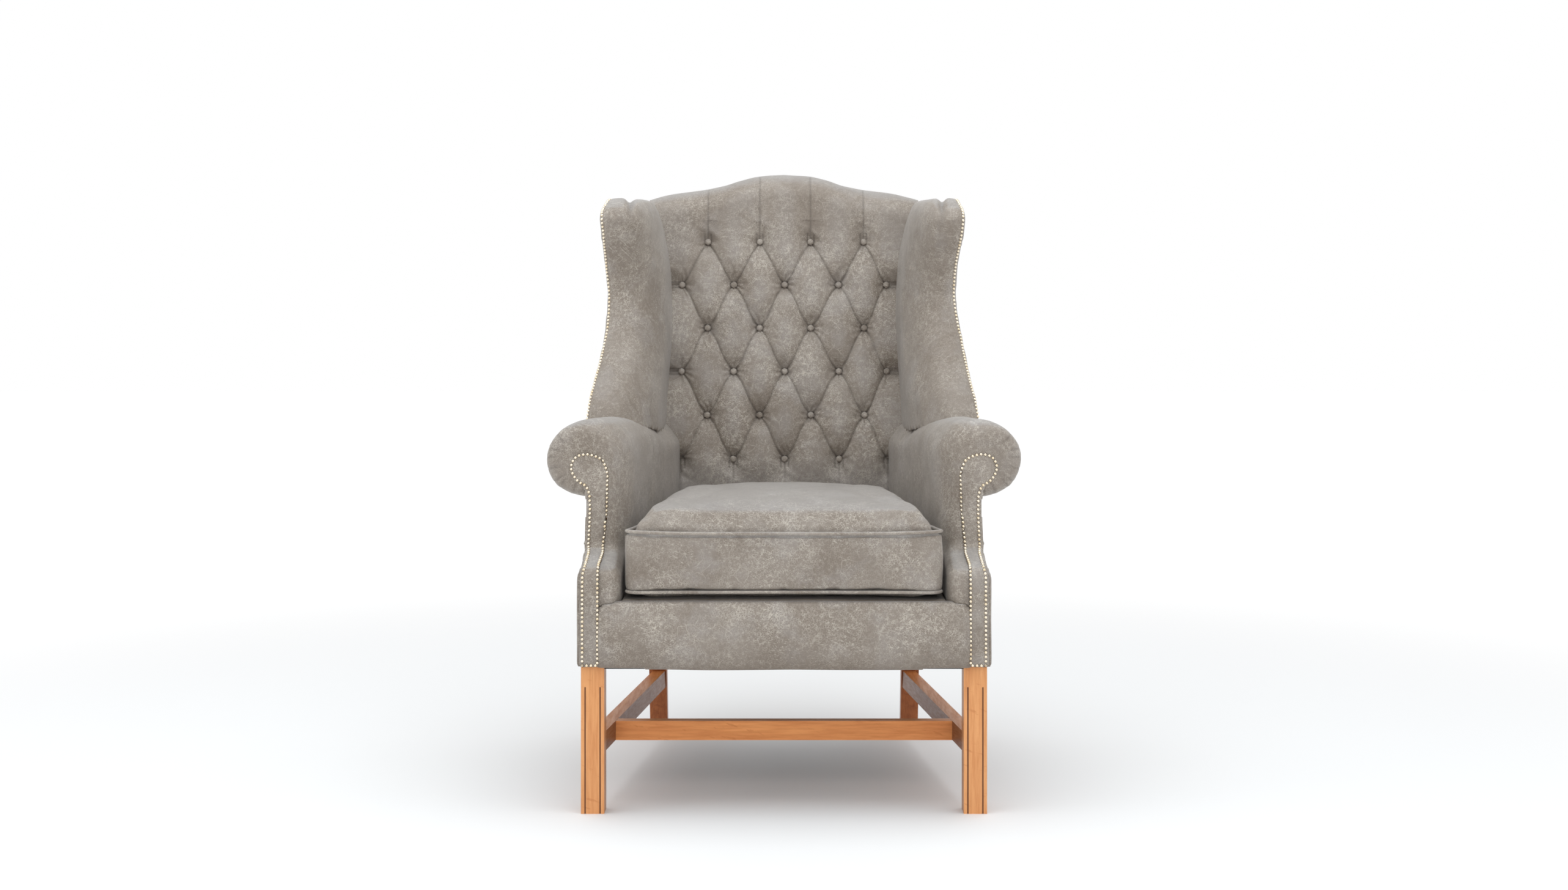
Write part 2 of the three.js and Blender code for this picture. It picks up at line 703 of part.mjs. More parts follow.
const coverLayer = [-coverThickness, 0];
placePair(
  'outside_wing_panel',
  cut(
    wingStrip((z) => wingRebate(z) + wingSeam + gap, (z) => postBack(z), wingFoot, wingFrameTop, coverLayer),
    underScroll()),
  fabric);
placePair(
  'outside_arm_panel',
  cut(
    onFrameLine(extruded(
      [
        ...sweepLine(0, railUnderside, scrollHeight(armSetback)),
        [postBack(scrollHeight(armSetback)), scrollHeight(armSetback)], [frameDepth, railUnderside],
      ],
      'x', gap, coverReach)),
    scrollRoll(),
    sideOfPost),
  fabric);
place(
  'outside_back_panel',
  leaning(extruded(backCover(), 'y', ...coverLayer)),
  fabric);

// Arm front: a padded band along the sweep, cut to the outline of the arm and its scroll.
function armBand(from, to, bottom, top) {
  const outline = [...sweepLine(to, bottom, top), ...sweepLine(from, bottom, top).reverse()];
  return extruded(outline, 'x', -wide, wide);
}
function armOutline(y) {
  const end = -Math.acos((coverReach - scrollAcross(y)) / armRadius(y));
  return [
    [-borderInset, railUnderside], [-borderInset, deckHeight - borderSeam], [-armThickness(y), deckHeight],
    ...scrollTop(y, 0), ...scrollUnder(y, end), [coverReach, railUnderside],
  ];
}
placePair(
  'arm_front',
  common(armBand(gap, coverReach, railUnderside, armHeight + overrun), armLoft(armOutline)),
  fabric);

// Nailed facing: a strip that sways over the sweep and ends in a curled head inside the scroll.
// Its head: share of the head's radius outwards, share of it upwards, from the neck round to the strip.
const facingHeadShares = [
  [-0.03, -1.28], [0.05, -0.98], [0.25, -0.7], [0.52, -0.56], [0.76, -0.32], [0.94, 0.01], [0.98, 0.36],
  [0.83, 0.735], [0.54, 0.925], [0.19, 0.99], [-0.16, 0.94], [-0.51, 0.816], [-0.76, 0.6], [-0.9, 0.26],
  [-0.97, -0.1],
];
// Its edges: share of the height from the foot to the head, share of the sway outwards.
const facingSwayShares = [[0, 0], [0.46, 0], [0.53, 0.3], [0.61, 1], [0.73, 0.78], [0.84, 0.6]];
function facingOutline() {
  const outer = coverReach - facingInset;
  const foot = railUnderside + facingLift;
  const headX = scrollAcross(armSetback) - facingHeadShift;
  const headZ = scrollHeight(armSetback) - facingHeadDrop;
  const edge = (x) =>
    facingSwayShares.map(([up, out]) => [x + facingSway * out, foot + (headZ - foot) * up]);
  const radius = facingHead / 2;
  const head = facingHeadShares.map(([out, up]) => [headX + radius * out, headZ + radius * up]);
  return [...edge(outer), ...head, ...edge(outer - facingWidth).reverse()];
}
placePair(
  'arm_facing',
  onFrameLine(common(
    armBand(coverReach + gap, coverReach + gap + facingThickness, railUnderside, armHeight),
    extruded(facingOutline(), 'y', -overrun, armSetback + overrun))),
  fabric);

const borderHalf = frameHalfFront - borderInset - gap;
function borderOutline() {
  const dipSteps = 6;
  const foot = Array.from({ length: dipSteps + 1 }, (_, i) => {
    const share = 2 * i / dipSteps - 1;
    return [borderHalf * share, railUnderside - borderDip * (1 - share * share)];
  });
  return [
    ...foot, [borderHalf, deckHeight - borderSeam - gap], [seatHalfFront, deckHeight - borderDrop],
    [-seatHalfFront, deckHeight - borderDrop], [-borderHalf, deckHeight - borderSeam - gap],
  ];
}
place('front_border', extruded(borderOutline(), 'y', -coverReach, -gap), fabric);

// Back frame and its straps
const crestSteps = 20;
function crestRail() {
  const half = legSpreadBack / 2;
  const over = Array.from({ length: crestSteps + 1 }, (_, i) => {
    const x = THREE.MathUtils.lerp(half, -half, i / crestSteps);
    return [x, crestLine(x) - crestPadding];
  });
  return leaning(extruded(
    [[-half, crestUnderside], [half, crestUnderside], ...over],
    'y', -backPostDepth - coverReach, -coverReach));
}
place('crest_rail', crestRail(), frameWood);
place(
  'lower_back_rail',
  crossBar(backRailHalf, backRailLayers, [lowerRailUnderside, lowerRailUnderside + lowerRailHeight]),
  frameWood);
const strapReach = wingFrameTop - wingRailHeight - strapHeadroom - strapWidth - strapFoot;
for (let i = 0; i < strapCount; i += 1) {
  const foot = strapFoot + strapReach * i / (strapCount - 1);
  const layers = [gap - backLayer, gap - backLayer + strapThickness];
  place(`back_strap_${i + 1}`, crossBar(legSpreadBack / 2, layers, [foot, foot + strapWidth]), jute);
}

// Tufted back: deep buttons in a diamond lattice, with pleats from button to button.
// Above the top row and below the bottom row the pleats run straight.
const tuftRows = 6;
const tuftTopRow = shoulderHeight - tuftDrop;
const tuftLowRow = tuftTopRow - (tuftRows - 1) * tuftRow;
const tuftSide = 2 * tuftColumn;
const tuftSteps = 3;
function tuftDepth(x, z) {
  const { clamp, smoothstep } = THREE.MathUtils;
  const across = clamp(x, -tuftSide, tuftSide) / tuftColumn;
  const down = (clamp(z, tuftLowRow, tuftTopRow) - tuftTopRow) / (2 * tuftRow);
  const [one, other] = [Math.PI * (across + down), Math.PI * (across - down)];
  const puff = Math.sqrt(Math.abs(Math.cos(one) * Math.cos(other)));
  const beyond = Math.max(z - tuftTopRow, tuftLowRow - z, 0) / tuftRow;
  const button = Math.abs(Math.sin(one) * Math.sin(other)) ** tuftSharpness * Math.max(1 - 2 * beyond, 0);
  return tuftPuff * puff * smoothstep(z, cushionTop, tuftLowRow) - tuftButton * button;
}
function crestRoll(x, z) {
  const into = THREE.MathUtils.clamp(1 - (crestLine(x) - z) / crestRadius, 0, 1);
  return crestRadius * (1 - Math.sqrt(1 - into * into * crestRollShare));
}
function tuftedSlab() {
  const columns = Math.ceil((backTopHalf + gap) / (tuftColumn / 2) * tuftSteps);
  const above = Math.ceil((crestHeight - tuftTopRow) / tuftRow * tuftSteps) + 1;
  const below = Math.ceil((tuftTopRow - deckUnderside) / tuftRow * tuftSteps) + 1;
  const rows = above + below + 1;
  const across = 2 * columns + 1;
  const positions = [];
  const index = [];
  for (const front of [true, false]) {
    for (let row = 0; row < rows; row += 1) {
      const z = tuftTopRow + (above - row) * tuftRow / tuftSteps;
      for (let column = 0; column < across; column += 1) {
        const x = (column - columns) * tuftColumn / 2 / tuftSteps;
        const face = backFace(z) - tuftDepth(x, z) + crestRoll(x, z);
        positions.push(x, front ? face : postBack(z), z);
      }
    }
  }
  const size = rows * across;
  const quad = (a, b, c, d) => index.push(a, b, c, a, c, d);
  for (let row = 0; row < rows - 1; row += 1) {
    for (let column = 0; column < across - 1; column += 1) {
      const a = row * across + column;
      const x = (column + 1 / 2 - columns) * tuftColumn / 2 / tuftSteps;
      const z = tuftTopRow + (above - row - 1 / 2) * tuftRow / tuftSteps;
      // Each cell is split along the diagonal that lies closer to the surface, so pleats stay sharp.
      const middle = backFace(z) - tuftDepth(x, z) + crestRoll(x, z);
      const depthAt = (i) => positions[3 * i + 1];
      const miss = (i, k) => Math.abs((depthAt(i) + depthAt(k)) / 2 - middle);
      const falling = miss(a, a + across + 1) < miss(a + 1, a + across);
      const corners = [a, a + across, a + across + 1, a + 1];
      const turned = falling ? corners : [...corners.slice(1), corners[0]];
      quad(...turned);
      quad(...corners.map((i) => i + size).reverse());
    }
  }
  const rim = [];
  for (let column = 0; column < across - 1; column += 1) rim.push(column);
  for (let row = 0; row < rows - 1; row += 1) rim.push(row * across + across - 1);
  for (let column = across - 1; column > 0; column -= 1) rim.push((rows - 1) * across + column);
  for (let row = rows - 1; row > 0; row -= 1) rim.push(row * across);
  rim.forEach((a, i) => {
    const b = rim[(i + 1) % rim.length];
    quad(a, b, b + size, a + size);
  });
  const geometry = new THREE.BufferGeometry();
  geometry.setAttribute('position', new THREE.Float32BufferAttribute(positions, 3));
  geometry.setIndex(index);
  return facingOut(geometry);
}
// The frame, the straps and the cover behind them stand in a pocket of the pad.
const backPocket = leaning(extruded(
  [
    [-wide, -overrun], [wide, -overrun],
    ...Array.from({ length: crestSteps + 1 }, (_, i) => {
      const x = THREE.MathUtils.lerp(1, -1, i / crestSteps) * (legSpreadBack / 2 + gap);
      return [x, crestLine(x) - crestPadding + gap];
    }),
  ],
  'y', -backLayer, overrun));
// In front of the face of the back, the arms have the room and the tufts stop at them.
const armInFront = common(underScroll(), extruded(
  [[-wide, 0], [backFace(0) - gap, 0], [backFace(tall) - gap, tall], [-wide, tall]], 'x', 0, wide));
place(
  'back_pad',
  cut(common(tuftedSlab(), backPrism(0)), backPocket, armInFront, mirrored(armInFront)),
  fabric);

// Seat: zigzag springs on the rails, the deck over them and the loose cushion.
const springFrom = springWire;
const springTo = postBack(railTop) - springWire;
const springArch = (y) =>
  springRise * Math.sin(Math.PI * THREE.MathUtils.clamp((y - springFrom) / (springTo - springFrom), 0, 1));
function wire(points, radius) {
  const sides = 4;
  const up = new THREE.Vector3(0, 0, 1);
  const rings = points.map((point, i) => {
    const before = points[Math.max(i - 1, 0)];
    const after = points[Math.min(i + 1, points.length - 1)];
    const arriving = point.clone().sub(before).setZ(0).normalize();
    const leaving = after.clone().sub(point).setZ(0).normalize();
    const along = arriving.clone().add(leaving).normalize();
    const straight = arriving.lengthSq() > 0 ? arriving : leaving;
    const reach = radius / Math.max(along.dot(straight), wireMiterShare);
    const side = new THREE.Vector3().crossVectors(up, along);
    return Array.from({ length: sides }, (_, k) => {
      const angle = 2 * Math.PI * (k + 1 / 2) / sides;
      return point.clone()
        .addScaledVector(side, reach * Math.cos(angle))
        .addScaledVector(up, radius * Math.sin(angle)).toArray();
    });
  });
  return lofted(rings, ([x, , z]) => [x, z]);
}
function spring(x) {
  const half = springWidth / 2;
  const waves = Math.round((springTo - springFrom) / springPitch) - 1;
  const pitch = (springTo - springFrom) / (waves + 1);
  const rest = railTop + gap + springWire / Math.SQRT2 / 2;
  const turnShares = [[0, 0.5], [1, 0.5], [1, 1], [0, 1]];
  const path = [[0, 0]];
  for (let i = 0; i < waves; i += 1) {
    for (const [side, along] of turnShares) path.push([side ? 1 : -1, i + 1 / 4 + along]);
  }
  path.push([0, waves + 1]);
  return wire(
    path.map(([side, along]) => {
      const y = springFrom + along * pitch;
      return new THREE.Vector3(x + side * half, y, rest + springArch(y));
    }),
    springWire / 2);
}
for (let i = 0; i < springCount; i += 1) {
  place(`seat_spring_${i + 1}`, spring((i - (springCount - 1) / 2) * springSpacing), springSteel);
}

function seatDeck() {
  const archSteps = 8;
  const back = backFace(deckUnderside + springRise) - gap;
  const top = backFace(deckHeight) - gap;
  const under = Array.from({ length: archSteps + 1 }, (_, i) => {
    const y = back * i / archSteps;
    return [y, deckUnderside + springArch(y)];
  });
  const section = extruded([...under, [top, deckHeight], [0, deckHeight]], 'x', -wide, wide);
  const edge = (y) => seatLine(y) - gap;
  const plan = extruded(
    [
      [-edge(0), 0], [edge(0), 0], [edge(armSetback), armSetback],
      [edge(top), top], [-edge(top), top], [-edge(armSetback), armSetback],
    ],
    'z', 0, tall);
  return common(section, plan);
}
place('seat_deck', seatDeck(), jute);

// Cushion in plan: straight in front of the arms, narrowing between them, with sides drawn in a little.
const cushionBack = backFace(deckHeight) - seatPlay;
const cushionHalf = (y) => seatLine(y) - seatPlay;
const cushionReach =
  cushionReachShare * (Math.min(cushionHalf(cushionBack), (cushionBack - cushionFront) / 2) - cushionEdge);
function cushionRing(z, inset) {
  const front = cushionFront + inset;
  const back = cushionBack - inset;
  const half = (y) => cushionHalf(y) - inset;
  const corners = [[half(front), front], [half(back), back], [-half(back), back], [-half(front), front]];
  const least = Math.min(half(back), (back - front) / 2);
  const radius = Math.min(cushionCorner + inset * cushionRoundingShare, least * cushionRoundShare);
  const sideSteps = 6;
  return corners.flatMap(([x, y], i) => {
    const corner = new THREE.Vector2(x, y);
    const before = new THREE.Vector2(...corners.at(i - 1));
    const after = new THREE.Vector2(...corners[(i + 1) % corners.length]);
    const bend = arcAt(before, corner, after, radius);
    const next = new THREE.Vector2(...corners[(i + 2) % corners.length]);
    const start = bend[bend.length - 1];
    const end = arcAt(corner, after, next, radius)[0];
    const inward = new THREE.Vector2(start.y - end.y, end.x - start.x).normalize();
    const side = Array.from({ length: sideSteps - 1 }, (_, k) => {
      const share = (k + 1) / sideSteps;
      return start.clone().lerp(end, share)
        .addScaledVector(inward, cushionDrawIn * 4 * share * (1 - share));
    });
    return [...bend, ...side].map((point) => [point.x, point.y, z]);
  });
}
function cushion() {
  const foot = deckHeight + gap;
  // Share of the side height and share of the edge roll, then share of the crown.
  const sideShares = [[0, 1], [0.06, 0.25], [0.12, 0], [0.5, 0.1], [0.93, 0], [1, 0.15]];
  const crownShares = [[0.06, 0.2], [0.14, 0.4], [0.26, 0.62], [0.42, 0.82], [0.6, 0.94], [0.8, 1]];
  const sides = sideShares.map(([up, inset]) => cushionRing(foot + cushionSide * up, cushionEdge * inset));
  const crown = crownShares.map(([inward, up]) =>
    cushionRing(foot + cushionSide + cushionCrown * up, cushionEdge + inward * cushionReach));
  return lofted([...sides, ...crown], ([x, y]) => [x, y]);
}
place('seat_cushion', cushion(), fabric);

// Dust cover tacked under the rails, round the legs.
function dustCover() {
  const edge = (y) => frameLine(y);
  const back = frameDepth;
  const top = railUnderside - gap;
  const sheet = extruded(
    [[-edge(0), 0], [edge(0), 0], [edge(back), back], [-edge(back), back]],
    'z', top - dustCoverThickness, top);
  const clear = [top - overrun, top + overrun];
  const onSide = (side, span) => grown(span).map((x) => side * x).sort((a, b) => a - b);
  const leg = (side) =>
    box(onSide(side, [frameHalfFront - frontLegWidth, frameHalfFront + overrun]),
      [-overrun, frontLegWidth + gap], clear);
  const post = (side) =>
    box(onSide(side, [legSpreadBack / 2 - backPostWidth, frameHalfFront]),
      [postFront(railUnderside) - gap, frameDepth + overrun], clear);
  return cut(sheet, leg(1), leg(-1), post(1), post(-1));
}
place('dust_cover', dustCover(), cambric);

// The origin comes to the middle of the outline, on the floor.
const outline = new THREE.Box3().setFromObject(chair);
const middle = outline.getCenter(new THREE.Vector3());
chair.position.set(-middle.x, -middle.y, -outline.min.z);

export default chair;
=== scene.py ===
"""A wingback armchair, dressed over its fixed frame.

The upholstery is made over the frame's own solids: a loose seat cushion, a diamond-tufted back,
wings, scroll arms with gathered fronts, and the flat outside panels. Nails, buttons, welts and
the show wood complete it. Lengths are in metres. The chair faces -Y and stands on the floor at
z = 0.
"""

import logging
import math
from collections.abc import Callable, Sequence
from dataclasses import dataclass, field
from enum import Enum

import bmesh
import bpy
import numpy as np
from mathutils import Matrix, Vector, noise
from mathutils.bvhtree import BVHTree


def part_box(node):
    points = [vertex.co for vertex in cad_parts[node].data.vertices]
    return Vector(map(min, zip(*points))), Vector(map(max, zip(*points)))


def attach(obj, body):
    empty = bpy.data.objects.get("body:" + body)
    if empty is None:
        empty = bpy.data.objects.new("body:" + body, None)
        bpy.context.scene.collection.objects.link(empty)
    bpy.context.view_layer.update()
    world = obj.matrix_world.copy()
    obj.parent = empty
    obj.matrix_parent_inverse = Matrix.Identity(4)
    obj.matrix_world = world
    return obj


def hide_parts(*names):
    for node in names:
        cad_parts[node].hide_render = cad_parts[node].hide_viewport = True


log = logging.getLogger("armchair")
Numbers = np.ndarray | float


class Side(Enum):
    """The two hands of the chair, as seen from the front."""

    RIGHT = 1
    LEFT = -1

    @property
    def word(self) -> str:
        """The side's name as the frame's nodes end with it."""
        return self.name.lower()


class Body(Enum):
    """The bodies of the frame that pieces ride on."""

    CHAIR = "chair"
    CUSHION = "cushion"


# Lines of the chair
@dataclass(frozen=True)
class ChairLines:
    """The lines of the frame that the upholstery follows.

    Depths are measured from the front of the front legs, and ``row`` turns one into the frame's y.
    """

    front_to_middle: float = 0.382237
    frame_half: float = 0.339
    frame_taper: float = 0.1177
    frame_depth: float = 0.633
    rail_underside: float = 0.244
    rake: float = 0.158
    cover: float = 0.007
    back_thickness: float = 0.120
    back_layer: float = 0.0456
    rail_top: float = 0.344
    deck: float = 0.358
    shoulder: float = 1.053
    crest_rise: float = 0.051
    waist_half: float = 0.218
    top_half: float = 0.264
    seat_half: float = 0.272
    seat_narrowing: float = 0.1156
    arm_setback: float = 0.090
    arm_height: float = 0.652
    arm_scroll: float = 0.130
    scroll_taper: float = 0.036
    arm_fall: float = 0.03
    ear: float = 1.046
    wing_waist: float = 0.404
    wing_toe: float = 0.198
    wing_splay: float = 0.1437
    side_shares: tuple[tuple[float, float], ...] = (
        (0, 0.13), (0.42, 0.2), (0.62, 0), (0.75, 0.03),
        (0.85, 0.2), (0.93, 0.46), (0.97, 0.7), (1, 0.96),
    )
    crest_shares: tuple[tuple[float, float], ...] = (
        (0, 1), (0.2, 0.93), (0.325, 0.76), (0.44, 0.57), (0.6, 0.4), (0.825, 0.24), (1, 0),
    )
    wing_shares: tuple[tuple[float, float], ...] = (
        (0, 1), (0.112, 0.87), (0.225, 0.6), (0.36, 0.28), (0.494, 0.07), (0.607, 0),
        (0.719, 0.1), (0.82, 0.28), (0.9, 0.37), (0.96, 0.33), (1, 0.2),
    )

    def row(self, depth: float) -> float:
        """The frame's y of a depth behind the front legs' face."""
        return depth - self.front_to_middle

    @staticmethod
    def through(shares: Sequence[tuple[float, float]], at: float) -> float:
        """A smooth curve through pairs of shares.

        Args:
            shares: Pairs of place and value, in rising order of place.
            at: The place to read.

        Returns:
            The curve's value there, held at its ends.
        """
        last = len(shares) - 1

        def slope(i: int) -> float:
            """The curve's slope at one of its pairs."""
            before, after = shares[max(i - 1, 0)], shares[min(i + 1, last)]
            return (after[1] - before[1]) / (after[0] - before[0])

        at = min(max(at, shares[0][0]), shares[last][0])
        i = min(max(k for k, pair in enumerate(shares) if pair[0] <= at), last - 1)
        span = shares[i + 1][0] - shares[i][0]
        u = (at - shares[i][0]) / span
        rise = shares[i + 1][1] - shares[i][1]
        bend = (1 - u) * (slope(i) * span - rise) + u * (rise - slope(i + 1) * span)
        return shares[i][1] + u * rise + u * (1 - u) * bend

    def frame_line(self, depth: Numbers) -> Numbers:
        """Half the width of the seat frame at a depth."""
        return self.frame_half - self.frame_taper * depth

    def seat_line(self, depth: Numbers) -> Numbers:
        """Half the width between the arms at a depth."""
        return self.seat_half - self.seat_narrowing * np.maximum(depth - self.arm_setback, 0)

    def post_back(self, z: Numbers) -> Numbers:
        """Depth of the rear of the back posts at a height."""
        return self.frame_depth + (z - self.rail_underside) * self.rake

    def back_plane(self, z: Numbers) -> Numbers:
        """Depth of the outside of the back at a height."""
        return self.post_back(z) + self.cover

    def back_face(self, z: Numbers) -> Numbers:
        """Depth of the face that the tufts rise from, at a height."""
        return self.back_plane(z) - self.back_thickness

    def back_half(self, z: float) -> float:
        """Half the width of the back between the wings at a height."""
        share = self.through(self.side_shares, (z - self.rail_top) / (self.shoulder - self.rail_top))
        return self.waist_half + (self.top_half - self.waist_half) * share

    def crest(self, x: float) -> float:
        """Height of the serpentine top of the back."""
        return self.shoulder + self.crest_rise * self.through(self.crest_shares, abs(x) / self.top_half)

    def wing_line(self, depth: Numbers, z: Numbers) -> Numbers:
        """How far out the outer face of the wing stands."""
        half = self.frame_line(self.frame_depth) + self.cover
        return half + self.wing_splay * (self.back_plane(z) - depth)

    def wing_front(self, z: float) -> float:
        """Depth of the front edge of the wing at a height."""
        share = self.through(self.wing_shares, (z - self.wing_foot) / (self.ear - self.wing_foot))
        return self.wing_waist - (self.wing_waist - self.wing_toe) * share

    def wing_fronts(self, heights: np.ndarray) -> np.ndarray:
        """Depths of the front edge of the wing at many heights."""
        return np.array([self.wing_front(z) for z in heights])

    @property
    def wing_foot(self) -> float:
        """Height at which the wing's front edge leaves the arm."""
        return self.arm_height - self.arm_scroll * 0.4

    def scroll_radius(self, depth: Numbers) -> Numbers:
        """Radius of the arm's scroll at a depth."""
        return (self.arm_scroll - self.scroll_taper * (depth - self.arm_setback)) / 2

    def scroll_height(self, depth: Numbers) -> Numbers:
        """Height of the middle of the arm's scroll at a depth."""
        return self.arm_height - self.arm_fall * (depth - self.arm_setback) - self.scroll_radius(depth)


LINES = ChairLines()


# Tools of the workbench
def ramp(value: Numbers, start: Numbers, width: float) -> Numbers:
    """Climbs from 0 to 1 over a width after a start, and is level before and beyond."""
    return np.clip((value - start) / width, 0, 1)


def fall(value: Numbers, end: Numbers, width: float | None = None) -> Numbers:
    """Falls from 1 to 0 over a width before an end, or all the way from zero to it."""
    return np.clip((end - value) / (width or end), 0, 1)


def bell(value: Numbers, width: float) -> Numbers:
    """A smooth hump, 1 at zero and gone beyond about twice its width."""
    return np.exp(-((value / width) ** 2))


def clear_selection() -> None:
    """Selects nothing, in object mode."""
    if bpy.context.object is not None and bpy.context.object.mode != "OBJECT":
        bpy.ops.object.mode_set(mode="OBJECT")
    bpy.ops.object.select_all(action="DESELECT")


def take(piece: bpy.types.Object) -> bpy.types.Object:
    """Selects one piece alone and makes it active.

    Args:
        piece: The object to work on.

    Returns:
        The same object.
    """
    clear_selection()
    piece.select_set(True)
    bpy.context.view_layer.objects.active = piece
    return piece


def finish_modifier(piece: bpy.types.Object, kind: str, **settings: object) -> None:
    """Adds a modifier with its settings and applies it.

    Args:
        piece: The object that gets it.
        kind: Blender's name for the modifier.
        settings: Its properties.
    """
    take(piece)
    modifier = piece.modifiers.new(kind.title(), kind)
    for name, value in settings.items():
        setattr(modifier, name, value)
    bpy.ops.object.modifier_apply(modifier=modifier.name)


def mesh_tool(piece: bpy.types.Object, *steps: Callable[[], object]) -> None:
    """Runs edit-mode steps on the whole of a piece.

    Args:
        piece: The object to edit.
        steps: Calls to make in edit mode, one after another.
    """
    take(piece)
    bpy.ops.object.mode_set(mode="EDIT")
    bpy.ops.mesh.select_all(action="SELECT")
    for step in steps:
        step()
    bpy.ops.object.mode_set(mode="OBJECT")


def face_outward(piece: bpy.types.Object) -> None:
    """Turns every face of a piece outwards."""
    mesh_tool(piece, lambda: bpy.ops.mesh.normals_make_consistent(inside=False))


def linked(name: str, data: bpy.types.ID) -> bpy.types.Object:
    """Makes an object and links it into the scene.

    Args:
        name: The object's name.
        data: Its mesh, curve, light or camera.

    Returns:
        The object.
    """
    made = bpy.data.objects.new(name, data)
    bpy.context.scene.collection.objects.link(made)
    return made


def copy_of(name: str, *nodes: str) -> bpy.types.Object:
    """A merged copy of one or more of the frame's solids, as one piece.

    Args:
        name: The new piece's name.
        nodes: The solids to copy.

    Returns:
        The copy, in place, without a material.
    """
    build = bmesh.new()
    for node in nodes:
        build.from_mesh(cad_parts[node].data)
    bmesh.ops.remove_doubles(build, verts=build.verts, dist=1e-5)
    mesh = bpy.data.meshes.new(name)
    build.to_mesh(mesh)
    build.free()
    return linked(name, mesh)


def rows_of(source: bpy.types.bpy_prop_collection, kind: str) -> np.ndarray:
    """Reads one vector of every vertex of a mesh.

    Args:
        source: The mesh's vertices or their normals.
        kind: The vector's name.

    Returns:
        One row for each vertex.
    """
    flat = np.empty(len(source) * 3)
    source.foreach_get(kind, flat)
    return flat.reshape(-1, 3)


def places(piece: bpy.types.Object) -> np.ndarray:
    """The places of a piece's vertices, one row each."""
    return rows_of(piece.data.vertices, "co")


def set_places(piece: bpy.types.Object, points: np.ndarray) -> None:
    """Moves a piece's vertices to new places."""
    piece.data.vertices.foreach_set("co", np.ascontiguousarray(points).reshape(-1))
    piece.data.update()


def normals(piece: bpy.types.Object) -> np.ndarray:
    """The directions that a piece's vertices face, one row each."""
    return rows_of(piece.data.vertex_normals, "vector")


def relaxed(piece: bpy.types.Object, rounds: int) -> None:
    """Relaxes a piece's skin a number of times."""
    finish_modifier(piece, "SMOOTH", factor=0.5, iterations=rounds)


def softened(piece: bpy.types.Object, voxel: float, rounds: int) -> None:
    """Gives a faceted solid an even skin of cells of a voxel's size, and relaxes it."""
    finish_modifier(piece, "REMESH", mode="VOXEL", voxel_size=voxel, adaptivity=0)
    relaxed(piece, rounds)


def subdivided(piece: bpy.types.Object) -> None:
    """Subdivides a piece once, smoothly."""
    finish_modifier(piece, "SUBSURF", levels=1, render_levels=1)


def wavy(points: np.ndarray, size: float, seed: float) -> np.ndarray:
    """Smooth noise in -1..1 at each point, in waves of a size. The seed moves the pattern."""
    shift = Vector((seed, -seed, seed / 3))
    return np.array([noise.noise(Vector(point) / size + shift) for point in points])


def marked(piece: bpy.types.Object, name: str, values: np.ndarray) -> None:
    """Stores one value per vertex, for the material to read."""
    attribute = piece.data.attributes.new(name, "FLOAT", "POINT")
    attribute.data.foreach_set("value", values.astype(np.float32))


def surface_of(piece: bpy.types.Object) -> BVHTree:
    """A piece's surface, to look places up on."""
    faces = [tuple(polygon.vertices) for polygon in piece.data.polygons]
    return BVHTree.FromPolygons([vertex.co for vertex in piece.data.vertices], faces)


def shade_smoothly(piece: bpy.types.Object) -> None:
    """Shades every face of a piece as part of one smooth surface."""
    piece.data.polygons.foreach_set("use_smooth", [True] * len(piece.data.polygons))


def scattered(name: str, pattern: bpy.types.Object, moves: Sequence[Matrix]) -> bpy.types.Object:
    """Copies of one small pattern in many places, as one piece.

    Args:
        name: The new piece's name.
        pattern: The object to repeat. It is removed.
        moves: The place and turn of each copy.

    Returns:
        The new piece.
    """
    shape = places(pattern)
    faces = [list(polygon.vertices) for polygon in pattern.data.polygons]
    points = [shape @ np.array(move.to_3x3()).T + np.array(move.translation) for move in moves]
    count = len(shape)
    repeated = [[i + count * k for i in face] for k in range(len(moves)) for face in faces]
    mesh = bpy.data.meshes.new(name)
    mesh.from_pydata(np.concatenate(points).tolist(), [], repeated)
    bpy.data.objects.remove(pattern)
    return linked(name, mesh)


def cord_round(name: str, points: Sequence[Vector], radius: float) -> bpy.types.Object:
    """A round cord along a line of points and back to its start, as a mesh.

    Args:
        name: The new piece's name.
        points: The line.
        radius: The cord's radius.

    Returns:
        The cord.
    """
    curve = bpy.data.curves.new(name, "CURVE")
    curve.dimensions = "3D"
    curve.bevel_depth = radius
    curve.bevel_resolution = 2
    spline = curve.splines.new("POLY")
    spline.points.add(len(points) - 1)
    for knot, point in zip(spline.points, points):
        knot.co = (*point, 1)
    spline.use_cyclic_u = True
    take(linked(name, curve))
    bpy.ops.object.convert(target="MESH")
    return bpy.context.object


def evenly(points: Sequence[Sequence[float]], pitch: float) -> list[tuple[Vector, Vector]]:
    """Places at an even pitch along a line of points.

    Args:
        points: The line's corners.
        pitch: Wanted distance between places; it is adjusted to fit the whole line.

    Returns:
        Pairs of place and direction.
    """
    line = np.array([tuple(point) for point in points], dtype=float)
    legs = np.linalg.norm(np.diff(line, axis=0), axis=1)
    along = np.concatenate([[0], np.cumsum(legs)])
    count = max(round(along[-1] / pitch), 1)
    spots = np.linspace(0, along[-1], count + 1)
    found = np.stack([np.interp(spots, along, line[:, axis]) for axis in range(3)], axis=1)
    ways = np.gradient(found, axis=0)
    return [(Vector(spot), Vector(way).normalized()) for spot, way in zip(found, ways)]


